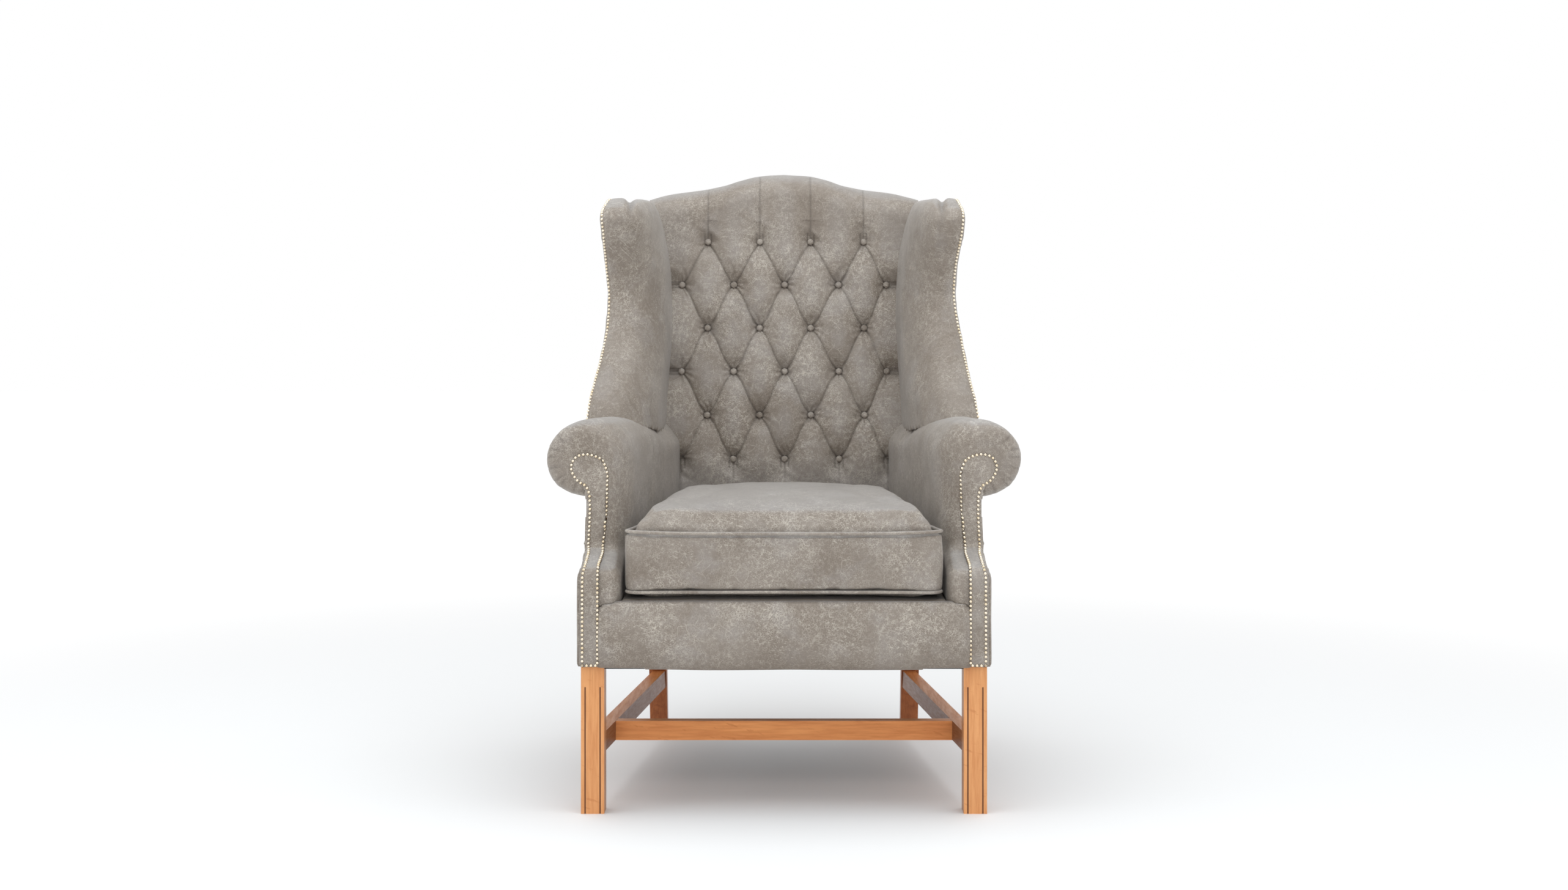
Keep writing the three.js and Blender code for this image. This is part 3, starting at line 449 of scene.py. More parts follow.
def settle(
    piece: bpy.types.Object,
    finish: bpy.types.Material,
    *nodes: str,
    body: Body = Body.CHAIR,
    fill: float | None = None,
) -> None:
    """Gives a piece of upholstery its finish, its body and the solids that it stands for.

    Args:
        piece: The finished piece.
        finish: Its material.
        nodes: The solids that it replaces.
        body: What it rides on.
        fill: How full a padded piece is, or None for one that isn't padded; not used.
    """
    piece.data.materials.clear()
    piece.data.materials.append(finish)
    shade_smoothly(piece)
    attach(piece, body.value)
    if nodes:
        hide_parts(*nodes)
    piece.data.calc_loop_triangles()
    log.info("%s: %d triangles on %s", piece.name, len(piece.data.loop_triangles), body.value)


# Finishes
def tone(red: int, green: int, blue: int) -> tuple[float, float, float, float]:
    """A colour in the light that shaders work with.

    Args:
        red: Its red as on a screen, from 0 to 255.
        green: Its green, likewise.
        blue: Its blue, likewise.

    Returns:
        The colour, with an alpha of 1.
    """
    shares = (red / 255, green / 255, blue / 255)
    linear = [c / 12.92 if c <= 0.04045 else ((c + 0.055) / 1.055) ** 2.4 for c in shares]
    return (*linear, 1.0)


Wire = bpy.types.NodeSocket | float | tuple


class Recipe:
    """A procedural material while it is put together."""

    def __init__(self, name: str, roughness: float, metallic: float = 0.0) -> None:
        """Starts a material with its shader.

        Args:
            name: The material's name.
            roughness: The shader's roughness where nothing else is linked.
            metallic: 1 for metals.
        """
        self.material = bpy.data.materials.new(name)
        self.material.use_nodes = True
        self.tree = self.material.node_tree
        self.shader = self.tree.nodes["Principled BSDF"]
        self.fix(self.shader, {"Roughness": roughness, "Metallic": metallic})
        self.place = self.node("ShaderNodeTexCoord").outputs["Object"]

    @staticmethod
    def fix(node: bpy.types.Node, values: dict[str, Wire]) -> None:
        """Sets inputs of a node to constants."""
        for name, value in values.items():
            node.inputs[name].default_value = value

    def node(self, kind: str, **settings: object) -> bpy.types.Node:
        """Adds a node.

        Args:
            kind: Blender's name for the node.
            settings: Its properties.

        Returns:
            The new node.
        """
        made = self.tree.nodes.new(kind)
        for name, value in settings.items():
            setattr(made, name, value)
        return made

    def feed(self, socket: bpy.types.NodeSocket, value: Wire) -> None:
        """Links an output to a socket, or sets the socket to a constant.

        Args:
            socket: The input.
            value: The output or the constant.
        """
        if isinstance(value, bpy.types.NodeSocket):
            self.tree.links.new(value, socket)
        else:
            socket.default_value = value

    def stretched(self, scale: tuple = (1, 1, 1), turn: tuple = (0, 0, 0)) -> Wire:
        """Object coordinates, turned and then stretched.

        Args:
            scale: How much each axis counts.
            turn: The turn about each axis, in radians.

        Returns:
            The coordinates.
        """
        mapping = self.node("ShaderNodeMapping", vector_type="TEXTURE")
        self.feed(mapping.inputs["Vector"], self.place)
        self.fix(mapping, {"Scale": tuple(1 / share for share in scale), "Rotation": turn})
        return mapping.outputs["Vector"]

    def clouds(self, scale: float, detail: float = 2.0, rough: float = 0.5, at: Wire | None = None) -> Wire:
        """Soft noise in 0..1.

        Args:
            scale: How many waves fit in a metre.
            detail: How many finer layers lie over them.
            rough: How strong the finer layers are.
            at: Coordinates, or None for the object's own.

        Returns:
            The noise.
        """
        cloud = self.node("ShaderNodeTexNoise")
        self.feed(cloud.inputs["Vector"], self.place if at is None else at)
        self.fix(cloud, {"Scale": scale, "Detail": detail, "Roughness": rough})
        return cloud.outputs["Fac"]

    def jittered(self, scale: float, reach: float, at: Wire | None = None) -> Wire:
        """Coordinates pushed about by noise.

        Args:
            scale: Scale of the noise.
            reach: How far it pushes.
            at: Coordinates to start from, or None for the object's own.

        Returns:
            The moved coordinates.
        """
        start = self.place if at is None else at
        cloud = self.node("ShaderNodeTexNoise")
        self.feed(cloud.inputs["Vector"], start)
        self.fix(cloud, {"Scale": scale})
        push = self.node("ShaderNodeVectorMath", operation="MULTIPLY_ADD")
        self.feed(push.inputs[0], cloud.outputs["Color"])
        push.inputs[1].default_value = (reach, reach, reach)
        self.feed(push.inputs[2], start)
        return push.outputs["Vector"]

    def cells(self, scale: float, at: Wire) -> Wire:
        """Distance from the seams of a pattern of cells.

        Args:
            scale: How many cells fit in a metre.
            at: Coordinates.

        Returns:
            The distance.
        """
        pattern = self.node("ShaderNodeTexVoronoi", feature="DISTANCE_TO_EDGE")
        self.feed(pattern.inputs["Vector"], at)
        self.fix(pattern, {"Scale": scale})
        return pattern.outputs["Distance"]

    def step(self, value: Wire, low: float, high: float, start: float = 0.0, end: float = 1.0) -> Wire:
        """A smooth step from one number to another.

        Args:
            value: What drives it.
            low: The value at which it begins.
            high: The value at which it ends.
            start: The number before it.
            end: The number after it.

        Returns:
            The step.
        """
        node = self.node("ShaderNodeMapRange", interpolation_type="SMOOTHSTEP")
        self.feed(node.inputs["Value"], value)
        self.fix(node, {"From Min": low, "From Max": high, "To Min": start, "To Max": end})
        return node.outputs["Result"]

    def reckon(self, kind: str, first: Wire, second: Wire = 0.0) -> Wire:
        """One step of arithmetic.

        Args:
            kind: Blender's name for it.
            first: The first value.
            second: The second value, where it needs one.

        Returns:
            The result.
        """
        node = self.node("ShaderNodeMath", operation=kind)
        self.feed(node.inputs[0], first)
        self.feed(node.inputs[1], second)
        return node.outputs[0]

    def times(self, first: Wire, second: Wire) -> Wire:
        """The product of two values."""
        return self.reckon("MULTIPLY", first, second)

    def most(self, first: Wire, second: Wire) -> Wire:
        """The greater of two values."""
        return self.reckon("MAXIMUM", first, second)

    def mixed(self, share: Wire, first: Wire, second: Wire) -> Wire:
        """A mix of two colours.

        Args:
            share: How much of the second, in 0..1.
            first: The first colour.
            second: The second colour.

        Returns:
            The mix.
        """
        node = self.node("ShaderNodeMix", data_type="RGBA")
        self.feed(node.inputs["Factor"], share)
        self.feed(node.inputs["A"], first)
        self.feed(node.inputs["B"], second)
        return node.outputs["Result"]

    def parts(self, vector: Wire) -> bpy.types.bpy_prop_collection:
        """The X, Y and Z of a vector.

        Args:
            vector: The vector.

        Returns:
            Its three outputs, by name.
        """
        split = self.node("ShaderNodeSeparateXYZ")
        self.feed(split.inputs["Vector"], vector)
        return split.outputs

    def facing(self) -> bpy.types.bpy_prop_collection:
        """The X, Y and Z of the way that the surface looks."""
        return self.parts(self.node("ShaderNodeTexCoord").outputs["Normal"])

    def mark(self, name: str) -> Wire:
        """A value that a piece stores on its vertices."""
        return self.node("ShaderNodeAttribute", attribute_name=name).outputs["Fac"]

    def relief(self, height: Wire, depth: float, under: Wire | None = None) -> Wire:
        """Raises the surface by a height.

        Args:
            height: The relief, in 0..1.
            depth: How deep 1 is.
            under: A relief that it lies on.

        Returns:
            The bent normal.
        """
        bump = self.node("ShaderNodeBump")
        self.fix(bump, {"Distance": depth})
        self.feed(bump.inputs["Height"], height)
        if under is not None:
            self.feed(bump.inputs["Normal"], under)
        return bump.outputs["Normal"]

    def wear(self, colour: Wire, **others: Wire) -> bpy.types.Material:
        """Links what was made to the shader.

        Args:
            colour: Base colour.
            others: The roughness or the normal, where they change over the surface.

        Returns:
            The finished material.
        """
        self.feed(self.shader.inputs["Base Color"], colour)
        for name, value in others.items():
            self.feed(self.shader.inputs[name.title()], value)
        return self.material


@dataclass(frozen=True)
class DistressedLeather:
    """Greige leather, mottled, with a fine pale crackle and light scratches.

    The pieces mark the painted shade of their creases ("crease"), their worn edges ("worn") and more painted
    shade ("shade"). What faces up, and what is seen along the surface, is painted with a paler sheen.
    """

    name: str = "distressed_leather"
    body: tuple = tone(146, 136, 126)
    warm: tuple = tone(133, 122, 111)
    cool: tuple = tone(162, 156, 152)
    dirt_and_shade_brown: tuple = tone(117, 105, 93)
    pale: tuple = tone(224, 216, 203)
    deep: tuple = tone(60, 50, 42)
    graze_sheen: tuple = tone(160, 154, 148)
    dust: tuple = tone(172, 173, 176)
    top_sheen_share: float = 0.3
    crackle_scale: float = 290.0
    crackle_jitter: tuple[float, float] = (240, 0.0016)
    net_share: float = 2.2
    net_relief: float = 0.00018
    wrinkle_relief: float = 0.0008
    worn_strength: float = 0.4
    shade_strength: float = 0.7
    crease_shade_strength: float = 0.8
    slants: tuple[tuple[float, float, float], ...] = ((0.75, 0.7, 0.4), (-0.6, -0.8, 1.9), (1.35, 0.2, 3.1))
    scratch_stretch: tuple[float, float, float] = (1.0, 1.0, 0.032)
    roughness: float = 0.5
    sheen: dict[str, Wire] = field(default_factory=lambda: {
        "Sheen Weight": 0.16,
        "Sheen Roughness": 0.4,
        "Sheen Tint": (0.97, 0.98, 1.0, 1),
        "Specular IOR Level": 0.45,
    })

    def make(self) -> bpy.types.Material:
        """Builds the material.

        Returns:
            The material.
        """
        r = Recipe(self.name, self.roughness)
        r.fix(r.shader, self.sheen)
        broad = r.step(r.clouds(8, 4, 0.6), 0.38, 0.64)
        cool = r.step(r.clouds(15, 3, 0.6, r.stretched(turn=(0.7, 0.4, 1.1))), 0.46, 0.7, 0, 0.42)
        colour = r.mixed(broad, self.body, self.warm)
        # places marked worn are rubbed to a cool grey; low on the back, behind the cushion, the same grey is
        # painted light that lifts the shade there
        colour = r.mixed(r.most(cool, r.times(r.mark("worn"), self.worn_strength)), colour, self.cool)
        dirt = r.step(r.clouds(38, 5, 0.68), 0.44, 0.7, 0, 0.3)
        colour = r.mixed(dirt, colour, self.dirt_and_shade_brown)
        colour = self.scratched(r, self.crackled(r, colour))
        # painted shade: places marked "shade" are darkened towards brown
        colour = r.mixed(r.times(r.mark("shade"), self.shade_strength), colour, self.dirt_and_shade_brown)
        # painted sheen: what faces up is paled towards a cool grey
        colour = r.mixed(r.step(r.facing()["Z"], 0.7, 0.95, 0, self.top_sheen_share), colour, self.dust)
        # painted shade in creases, seams, pleats and round buttons, where the pieces mark "crease"
        colour = r.mixed(r.times(r.mark("crease"), self.crease_shade_strength), colour, self.deep)
        # painted sheen: where it is seen along the surface, the colour turns to a pale grey that hides the
        # crackle
        graze = r.node("ShaderNodeLayerWeight")
        r.fix(graze, {"Blend": 0.5})
        colour = r.mixed(r.step(graze.outputs["Facing"], 0.55, 0.95, 0, 0.4), colour, self.graze_sheen)
        net = r.cells(self.crackle_scale * self.net_share, r.jittered(*self.crackle_jitter))
        grain = r.relief(r.step(net, 0, 0.3), self.net_relief)
        wrinkles = r.relief(r.clouds(70, 4, 0.6), self.wrinkle_relief, grain)
        matt = r.step(r.reckon("ADD", broad, dirt), 0, 1.4, 0.44, 0.6)
        return r.wear(colour, roughness=matt, normal=wrinkles)

    def crackled(self, r: Recipe, colour: Wire) -> Wire:
        """Lays the pale crackle over a colour: fine everywhere, strong in veils.

        Args:
            r: The recipe.
            colour: The colour under it.

        Returns:
            The crackled colour.
        """
        veil = r.step(r.clouds(13, 4, 0.65, r.stretched(turn=(1.3, 0.2, 0.5))), 0.38, 0.68, 0.3, 1.0)
        broken = r.step(r.clouds(150, 3, 0.6), 0.36, 0.62, 0.12, 1)
        fine = r.step(r.cells(self.crackle_scale, r.jittered(*self.crackle_jitter)), 0.0, 0.15, 1, 0)
        wide = r.step(r.cells(self.crackle_scale * 0.45, r.jittered(120, 0.005)), 0.0, 0.05, 1, 0)
        veins = r.step(r.cells(self.crackle_scale * 0.13, r.jittered(70, 0.010)), 0.004, 0.024, 1, 0)
        strays = r.times(veins, r.step(r.clouds(30, 3), 0.46, 0.62))
        net = r.most(r.times(fine, 0.62), r.times(wide, 0.6))
        lines = r.most(r.times(r.times(net, veil), broken), r.times(strays, 0.35))
        return r.mixed(lines, colour, self.pale)

    def scratched(self, r: Recipe, colour: Wire) -> Wire:
        """Draws fine pale scratches that run in a few slanting directions.

        Args:
            r: The recipe.
            colour: The colour under them.

        Returns:
            The scratched colour.
        """
        for lean, tip, seed in self.slants:
            run = r.stretched(self.scratch_stretch, (tip, lean, seed))
            where = r.step(r.clouds(16, 2, 0.5, r.stretched(turn=(seed, 0.3, lean))), 0.48, 0.64, 0.0, 0.42)
            hair = r.step(r.clouds(640, 1, 0.5, r.jittered(16, 0.012, run)), 0.62, 0.7)
            colour = r.mixed(r.times(hair, where), colour, self.pale)
        return colour


class Grain(Enum):
    """The way the grain of a piece of wood runs."""

    UP = (1.0, 1.0, 0.07)
    ACROSS = (0.07, 1.0, 1.0)
    DEEP = (1.0, 0.07, 1.0)


@dataclass(frozen=True)
class PolishedWood:
    """Oiled hardwood with a straight faint grain."""

    name: str
    light: tuple
    dark: tuple
    grain: Grain
    roughness: float = 0.38
    grooves: tuple[float, ...] = ()
    groove_half: tuple[float, float] = (0.0009, 0.0014)
    groove_depth: tuple[float, float] = (0.0018, 0.0024)
    groove_top: float = 0.212
    groove_shade: tuple = tone(104, 52, 24)
    side_shade_share: float = 0.0
    side_shade: tuple = tone(104, 62, 44)
    pore_relief: float = 0.00012

    def make(self) -> bpy.types.Material:
        """Builds the material.

        Returns:
            The material.
        """
        r = Recipe(self.name, self.roughness)
        r.fix(r.shader, {"Coat Weight": 0.05, "Coat Roughness": 0.25, "Specular IOR Level": 0.35})
        run = r.stretched(self.grain.value)
        fine = r.clouds(260, 5, 0.62, run)
        broad = r.clouds(34, 3, 0.5, r.jittered(9, 0.02, run))
        rings = r.step(r.reckon("ABSOLUTE", r.reckon("SUBTRACT", broad, 0.5)), 0, 0.16, 0.85, 0)
        share = r.reckon("ADD", r.times(r.step(fine, 0.35, 0.7), 0.42), r.times(rings, 0.3))
        colour = r.mixed(share, self.light, self.dark)
        pores = r.step(r.clouds(900, 2, 0.5, run), 0.62, 0.72, 0, 0.3)
        colour = r.mixed(pores, colour, self.dark)
        across = r.stretched((0.25, 0.25, 1.0), (0.1, 0.3, 0.0))
        flecks = r.step(r.clouds(120, 3, 0.6, across), 0.61, 0.69, 0, 0.5)
        colour = r.mixed(flecks, colour, self.dark)
        # painted shade: the faces that look sideways are painted darker
        sideways = r.step(r.reckon("ABSOLUTE", r.facing()["X"]), 0.6, 0.8, 0, self.side_shade_share)
        colour = r.mixed(sideways, colour, self.side_shade)
        if self.grooves:
            colour = r.mixed(self.in_grooves(r), colour, self.groove_shade)
        matt = r.step(fine, 0.2, 0.8, 0.32, 0.5)
        return r.wear(colour, roughness=matt, normal=r.relief(fine, self.pore_relief))

    def in_grooves(self, r: Recipe) -> Wire:
        """Where the grooves of the leg's face are painted darker, as painted shade.

        Args:
            r: The recipe.

        Returns:
            The share of painted shade.
        """
        at = r.parts(r.place)
        found = None
        for middle in self.grooves:
            off = r.reckon("ABSOLUTE", r.reckon("SUBTRACT", r.reckon("ABSOLUTE", at["X"]), middle))
            near = r.step(off, *self.groove_half, 0.85, 0)
            found = near if found is None else r.most(found, near)
        below = r.step(at["Z"], self.groove_top - 0.002, self.groove_top, 1, 0)
        front = r.step(at["Y"], *(LINES.row(depth) for depth in self.groove_depth), 1, 0)
        return r.times(found, r.times(below, front))


@dataclass(frozen=True)
class SatinMetal:
    """Metal with a soft shine and a little tarnish."""

    name: str
    bright: tuple
    dull: tuple
    roughness: float = 0.3
    rim: tuple = tone(58, 36, 20)

    def make(self) -> bpy.types.Material:
        """Builds the material.

        Returns:
            The material.
        """
        r = Recipe(self.name, self.roughness, metallic=1.0)
        tarnish = r.step(r.clouds(70, 4, 0.6), 0.42, 0.68)
        colour = r.mixed(tarnish, self.bright, self.dull)
        # painted shade: it darkens towards the rim, which the nails mark
        colour = r.mixed(r.step(r.mark("rim"), 0.45, 0.95), colour, self.rim)
        return r.wear(colour, roughness=r.step(tarnish, 0, 1, 0.24, 0.36))


@dataclass(frozen=True)
class WovenCloth:
    """A plain weave, such as webbing or a dust cover."""

    name: str
    thread: tuple
    gap: tuple
    pitch: float
    roughness: float = 0.9

    def make(self) -> bpy.types.Material:
        """Builds the material.

        Returns:
            The material.
        """
        r = Recipe(self.name, self.roughness)
        waves = []
        for direction in ("X", "Y", "Z"):
            wave = r.node("ShaderNodeTexWave", wave_type="BANDS", bands_direction=direction)
            r.feed(wave.inputs["Vector"], r.place)
            r.fix(wave, {"Scale": 0.3 / self.pitch})
            waves.append(wave.outputs["Fac"])
        weave = r.times(r.most(waves[0], waves[1]), r.most(waves[1], waves[2]))
        worn = r.step(r.clouds(24, 3), 0.3, 0.7, 0.35, 1)
        colour = r.mixed(r.times(weave, worn), self.gap, self.thread)
        return r.wear(colour, normal=r.relief(weave, self.pitch / 4))


class Finishes:
    """Every finish of the chair, made once."""

    def __init__(self) -> None:
        """Builds the materials."""
        self.leather = DistressedLeather().make()
        self.welt = DistressedLeather("welt_leather", body=tone(160, 150, 140), crackle_scale=340.0).make()
        # the deck is a dark leather, made darker still as painted shade where it shows in the gap under the
        # cushion
        self.deck = DistressedLeather(
            "shaded_deck_leather",
            body=tone(58, 51, 44),
            warm=tone(50, 44, 38),
            cool=tone(70, 66, 62),
            pale=tone(120, 110, 100),
            graze_sheen=tone(70, 64, 58),
            top_sheen_share=0.0,
        ).make()
        show = {"light": tone(236, 170, 112), "dark": tone(200, 126, 72), "grain": Grain.UP}
        red = {"light": tone(226, 150, 90), "dark": tone(188, 108, 56), "grain": Grain.DEEP}
        self.leg = PolishedWood("leg_wood", **show, grooves=(0.307, 0.332), side_shade_share=0.5).make()
        # the back legs are a darker copy of the show wood: painted shade
        self.shaded_back_leg = PolishedWood("shaded_back_leg_wood", tone(176, 104, 58), tone(130, 70, 36), Grain.UP).make()
        self.rung = PolishedWood("rung_wood", tone(241, 160, 93), tone(202, 117, 57), Grain.ACROSS).make()
        self.side_rung = PolishedWood("side_rung_wood", **red, side_shade_share=0.8).make()
        plain = {"light": tone(196, 168, 128), "dark": tone(158, 124, 84), "roughness": 0.6}
        self.post = PolishedWood("post_wood", **plain, grain=Grain.UP).make()
        self.rail = PolishedWood("rail_wood", **plain, grain=Grain.ACROSS).make()
        self.side_rail = PolishedWood("side_rail_wood", **plain, grain=Grain.DEEP).make()
        self.nail = SatinMetal("champagne_nail", tone(254, 242, 220), tone(238, 218, 184)).make()
        self.steel = SatinMetal("spring_steel", tone(150, 150, 152), tone(96, 94, 92), 0.35).make()
        self.jute = WovenCloth("jute_webbing", tone(176, 146, 102), tone(104, 80, 52), 0.0016).make()
        self.cambric = WovenCloth("black_cambric", tone(44, 43, 44), tone(20, 20, 21), 0.0011).make()


# The loose cushion
@dataclass
class SeatCushion:
    """The loose seat cushion: a crowned top, a boxing between two welts, and a line of topstitching."""

    voxel: float = 0.005
    starting_inset: float = 0.004
    fill: float = 4.0
    frames: int = 20
    crown_cap: float = 0.012
    side_cap: float = 0.005
    deck_gap: float = 0.0006
    boxing_inset: float = 0.0008
    bulge: float = 0.0022
    tuck_under: float = 0.014
    tuck_height: float = 0.11
    shoulder: float = 0.014
    shoulder_reach: float = 0.052
    side_rise: float = 0.013
    side_reach: float = 0.017
    square_reach: float = 0.04
    back_narrowing: float = 0.016
    welt: float = 0.0030
    seam_low: float = 0.3695
    seam_high: float = 0.4672
    corner_rise: float = 0.0048
    seam_depth: float = 0.0030
    seam_width: float = 0.0055
    crease_width: float = 0.0042
    low_seam_share: float = 0.4
    edge_reach: float = 0.05
    pucker: float = 0.0011
    ripple: float = 0.0016
    outline_pitch: float = 0.006
    stitch_inset: float = 0.0078
    stitch_width: float = 0.0022
    stitch_depth: float = 0.0011
    stitch_pitch: float = 0.0046
    stitch_length: float = 0.0031
    thread: float = 0.00045
    piece: bpy.types.Object = field(init=False)

    def build(self) -> None:
        """Makes the stuffed cushion, its welts and its stitches."""
        self.piece = copy_of("cushion_cover", "seat_cushion")
        cut = self.outline()
        softened(self.piece, self.voxel, 2)
        self.stuff()
        subdivided(self.piece)
        self.box_sides(cut)
        outline = self.outline()
        self.sew(outline)
        settle(self.piece, FINISH.leather, "seat_cushion", body=Body.CUSHION, fill=0.8)
        self.welts(outline)
        self.stitches(outline)

    def stuff(self) -> None:
        """Swells the cover with cloth simulation, and holds it inside its box."""
        set_places(self.piece, places(self.piece) - normals(self.piece) * self.starting_inset)
        start = places(self.piece)
        take(self.piece)
        cloth = self.piece.modifiers.new("Stuffing", "CLOTH")
        cloth.settings.use_pressure = True
        cloth.settings.uniform_pressure_force = self.fill
        cloth.settings.effector_weights.gravity = 0
        cloth.settings.quality = 5
        cloth.point_cache.frame_start, cloth.point_cache.frame_end = 1, self.frames
        for frame in range(1, self.frames + 1):
            bpy.context.scene.frame_set(frame)
        bpy.ops.object.modifier_apply(modifier=cloth.name)
        bpy.context.scene.frame_set(1)
        moved = places(self.piece) - start
        caps = np.array([self.side_cap, self.side_cap, self.crown_cap])
        points = start + np.clip(moved, -caps, caps)
        points[:, 2] = np.maximum(points[:, 2], LINES.deck + self.deck_gap)
        set_places(self.piece, points)

    def box_sides(self, cut: np.ndarray) -> None:
        """Stands the boxing up between the seams, out to the outline that the cover was cut to.

        Args:
            cut: That outline from above.
        """
        points = places(self.piece)
        middle = (cut.min(0) + cut.max(0)) / 2
        rays = np.arctan2(cut[:, 1] - middle[1], cut[:, 0] - middle[0])
        order = np.argsort(rays)
        spans = np.hypot(*(cut - middle).T)[order]
        dx, dy = points[:, 0] - middle[0], points[:, 1] - middle[1]
        turn, span = np.arctan2(dy, dx), np.hypot(dx, dy)
        full = np.interp(turn, rays[order], spans, period=2 * math.pi)
        up = (points[:, 2] - self.seam_low) / (self.high_seam(points) - self.seam_low)
        wall = full - self.boxing_inset + self.bulge * np.sin(math.pi * np.clip(up, 0, 1))
        wall -= self.tuck_under * np.clip(-up / self.tuck_height, 0, 1) ** 1.5
        near = ramp(span, full - 0.022, 0.012) * (up < 1.02)
        inward = full - span
        grown = 1 + near * (wall / np.maximum(span, 1e-6) - 1)
        # the crown stands squarely over its seam at the sides and corners
        beside = ramp(np.abs(dx) / full, 0.45, 0.3)
        pulled = inward * (1 - np.clip(inward / self.square_reach, 0.1, 1) ** 0.8)
        above = up - 1
        grown += pulled * beside * np.clip(above * 12, 0, 1) * (inward > 0) / np.maximum(span, 1e-6)
        points[:, 0], points[:, 1] = middle[0] + dx * grown, middle[1] + dy * grown
        # the crown climbs quickly from its seam, and the cushion narrows towards the back
        beside *= ramp(points[:, 1], LINES.row(0), 0.025)
        rise = self.shoulder * (1 - fall(inward, self.shoulder_reach) ** 2.2)
        rise += self.side_rise * beside * (1 - fall(inward, self.side_reach) ** 2)
        points[:, 2] += rise * np.clip(above * 6, 0, 1)
        back = ramp(points[:, 1], LINES.row(0.10), 0.40)
        points[:, 0] *= 1 - self.back_narrowing * back / (LINES.seat_half - 0.05)
        set_places(self.piece, points)

    def outline(self) -> np.ndarray:
        """The cushion's outline from above, found on its own surface.

        Returns:
            Rows of x and y, evenly spaced all the way round.
        """
        tree = surface_of(self.piece)
        points = places(self.piece)
        middle = (points.min(0) + points.max(0)) / 2
        centre = Vector((middle[0], middle[1], (self.seam_low + self.seam_high) / 2))
        found = []
        for turn in np.linspace(0, 2 * math.pi, 720, endpoint=False):
            way = Vector((math.cos(turn), math.sin(turn), 0))
            spot = tree.ray_cast(centre + way * 0.6, -way)[0]
            found.append((spot.x, spot.y, 0))
        found.append(found[0])
        return np.array([tuple(spot)[:2] for spot, _ in evenly(found, self.outline_pitch)][:-1])

    def high_seam(self, points: np.ndarray) -> np.ndarray:
        """Height of the upper seam, which climbs a little to the corners.

        Args:
            points: Places on the outline, one row each.

        Returns:
            One height for each place.
        """
        low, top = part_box("seat_cushion")
        across = np.abs(2 * (points[:, 0] - low[0]) / (top[0] - low[0]) - 1)
        along = np.abs(2 * (points[:, 1] - low[1]) / (top[1] - low[1]) - 1)
        return self.seam_high + self.corner_rise * (across * along) ** 4

    def sew(self, outline: np.ndarray) -> None:
        """Presses the seams into the cover and puckers the boxing between them.

        Args:
            outline: The cushion's outline from above.
        """
        points, ways = places(self.piece), normals(self.piece)
        shift = np.zeros(len(points))
        crease = np.zeros(len(points))
        low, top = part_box("seat_cushion")
        x, y, z = points.T
        near = np.minimum.reduce([x - low[0], top[0] - x, y - low[1], top[1] - y]) < self.edge_reach
        for height, share in ((self.high_seam(points), 1.0), (self.seam_low, self.low_seam_share)):
            gap = np.abs(z - height)
            shift -= self.seam_depth * share * bell(gap, self.seam_width) * near
            crease = np.maximum(crease, share * bell(gap, self.crease_width) * near)
        # the boxing is drawn in by its seams in small puckers, and the top ripples where it is sat on
        pucker = wavy(points * (1, 1, 0.25), 0.016, 3.7) * near
        boxing = np.clip((z - self.seam_low) / (self.seam_high - self.seam_low), 0, 1)
        shift += self.pucker * pucker * (1 - (2 * boxing - 1) ** 4) + self.ripple * wavy(points, 0.055, 8.1)
        across = np.ones(len(points))
        for i in np.flatnonzero(z > self.seam_high):
            across[i] = np.min(np.hypot(outline[:, 0] - x[i], outline[:, 1] - y[i]))
        line = bell(across - self.stitch_inset, self.stitch_width)
        shift -= self.stitch_depth * line
        set_places(self.piece, points + ways * shift[:, None])
        # painted shade along both seams and the line of stitching; the edge is marked as worn
        marked(self.piece, "crease", np.maximum(crease * 0.8, line * 0.35))
        marked(self.piece, "worn", bell(across - 0.004, 0.004) * 0.6)

    def welts(self, outline: np.ndarray) -> None:
        """Lays a cord of leather along both seams.

        Args:
            outline: The cushion's outline from above.
        """
        tree = surface_of(self.piece)
        low = np.full(len(outline), self.seam_low)
        for name, heights in (("cushion_welt_top", self.high_seam(outline)), ("cushion_welt_bottom", low)):
            line = []
            for (x, y), z in zip(outline, heights):
                spot = tree.find_nearest(Vector((x, y, z)))[0]
                inward = Vector((-x, -0.08 - y, 0)).normalized()
                line.append(Vector((spot.x, spot.y, z)) - inward * self.welt * 0.35)
            settle(cord_round(name, line, self.welt), FINISH.welt, body=Body.CUSHION)

    def stitches(self, outline: np.ndarray) -> None:
        """Sews a row of small stitches on the top, a little way in from its welt.

        Args:
            outline: The cushion's outline from above.
        """
        tree = surface_of(self.piece)
        inset = []
        for i, (x, y) in enumerate(outline):
            before, after = outline[i - 1], outline[(i + 1) % len(outline)]
            way = Vector((after[0] - before[0], after[1] - before[1], 0)).normalized()
            above = Vector((x, y, 0.7)) + Vector((-way.y, way.x, 0)) * self.stitch_inset
            spot = tree.ray_cast(above, Vector((0, 0, -1)))[0]
            if spot is not None:
                inset.append(spot)
        inset.append(inset[0])
        moves = [Matrix.Translation(spot) @ way.to_track_quat("X", "Z").to_matrix().to_4x4()
                 for spot, way in evenly(inset, self.stitch_pitch)[:-1]]
        pattern = thread_stitch(self.stitch_length, self.thread)
        settle(scattered("cushion_stitches", pattern, moves), FINISH.welt, body=Body.CUSHION)


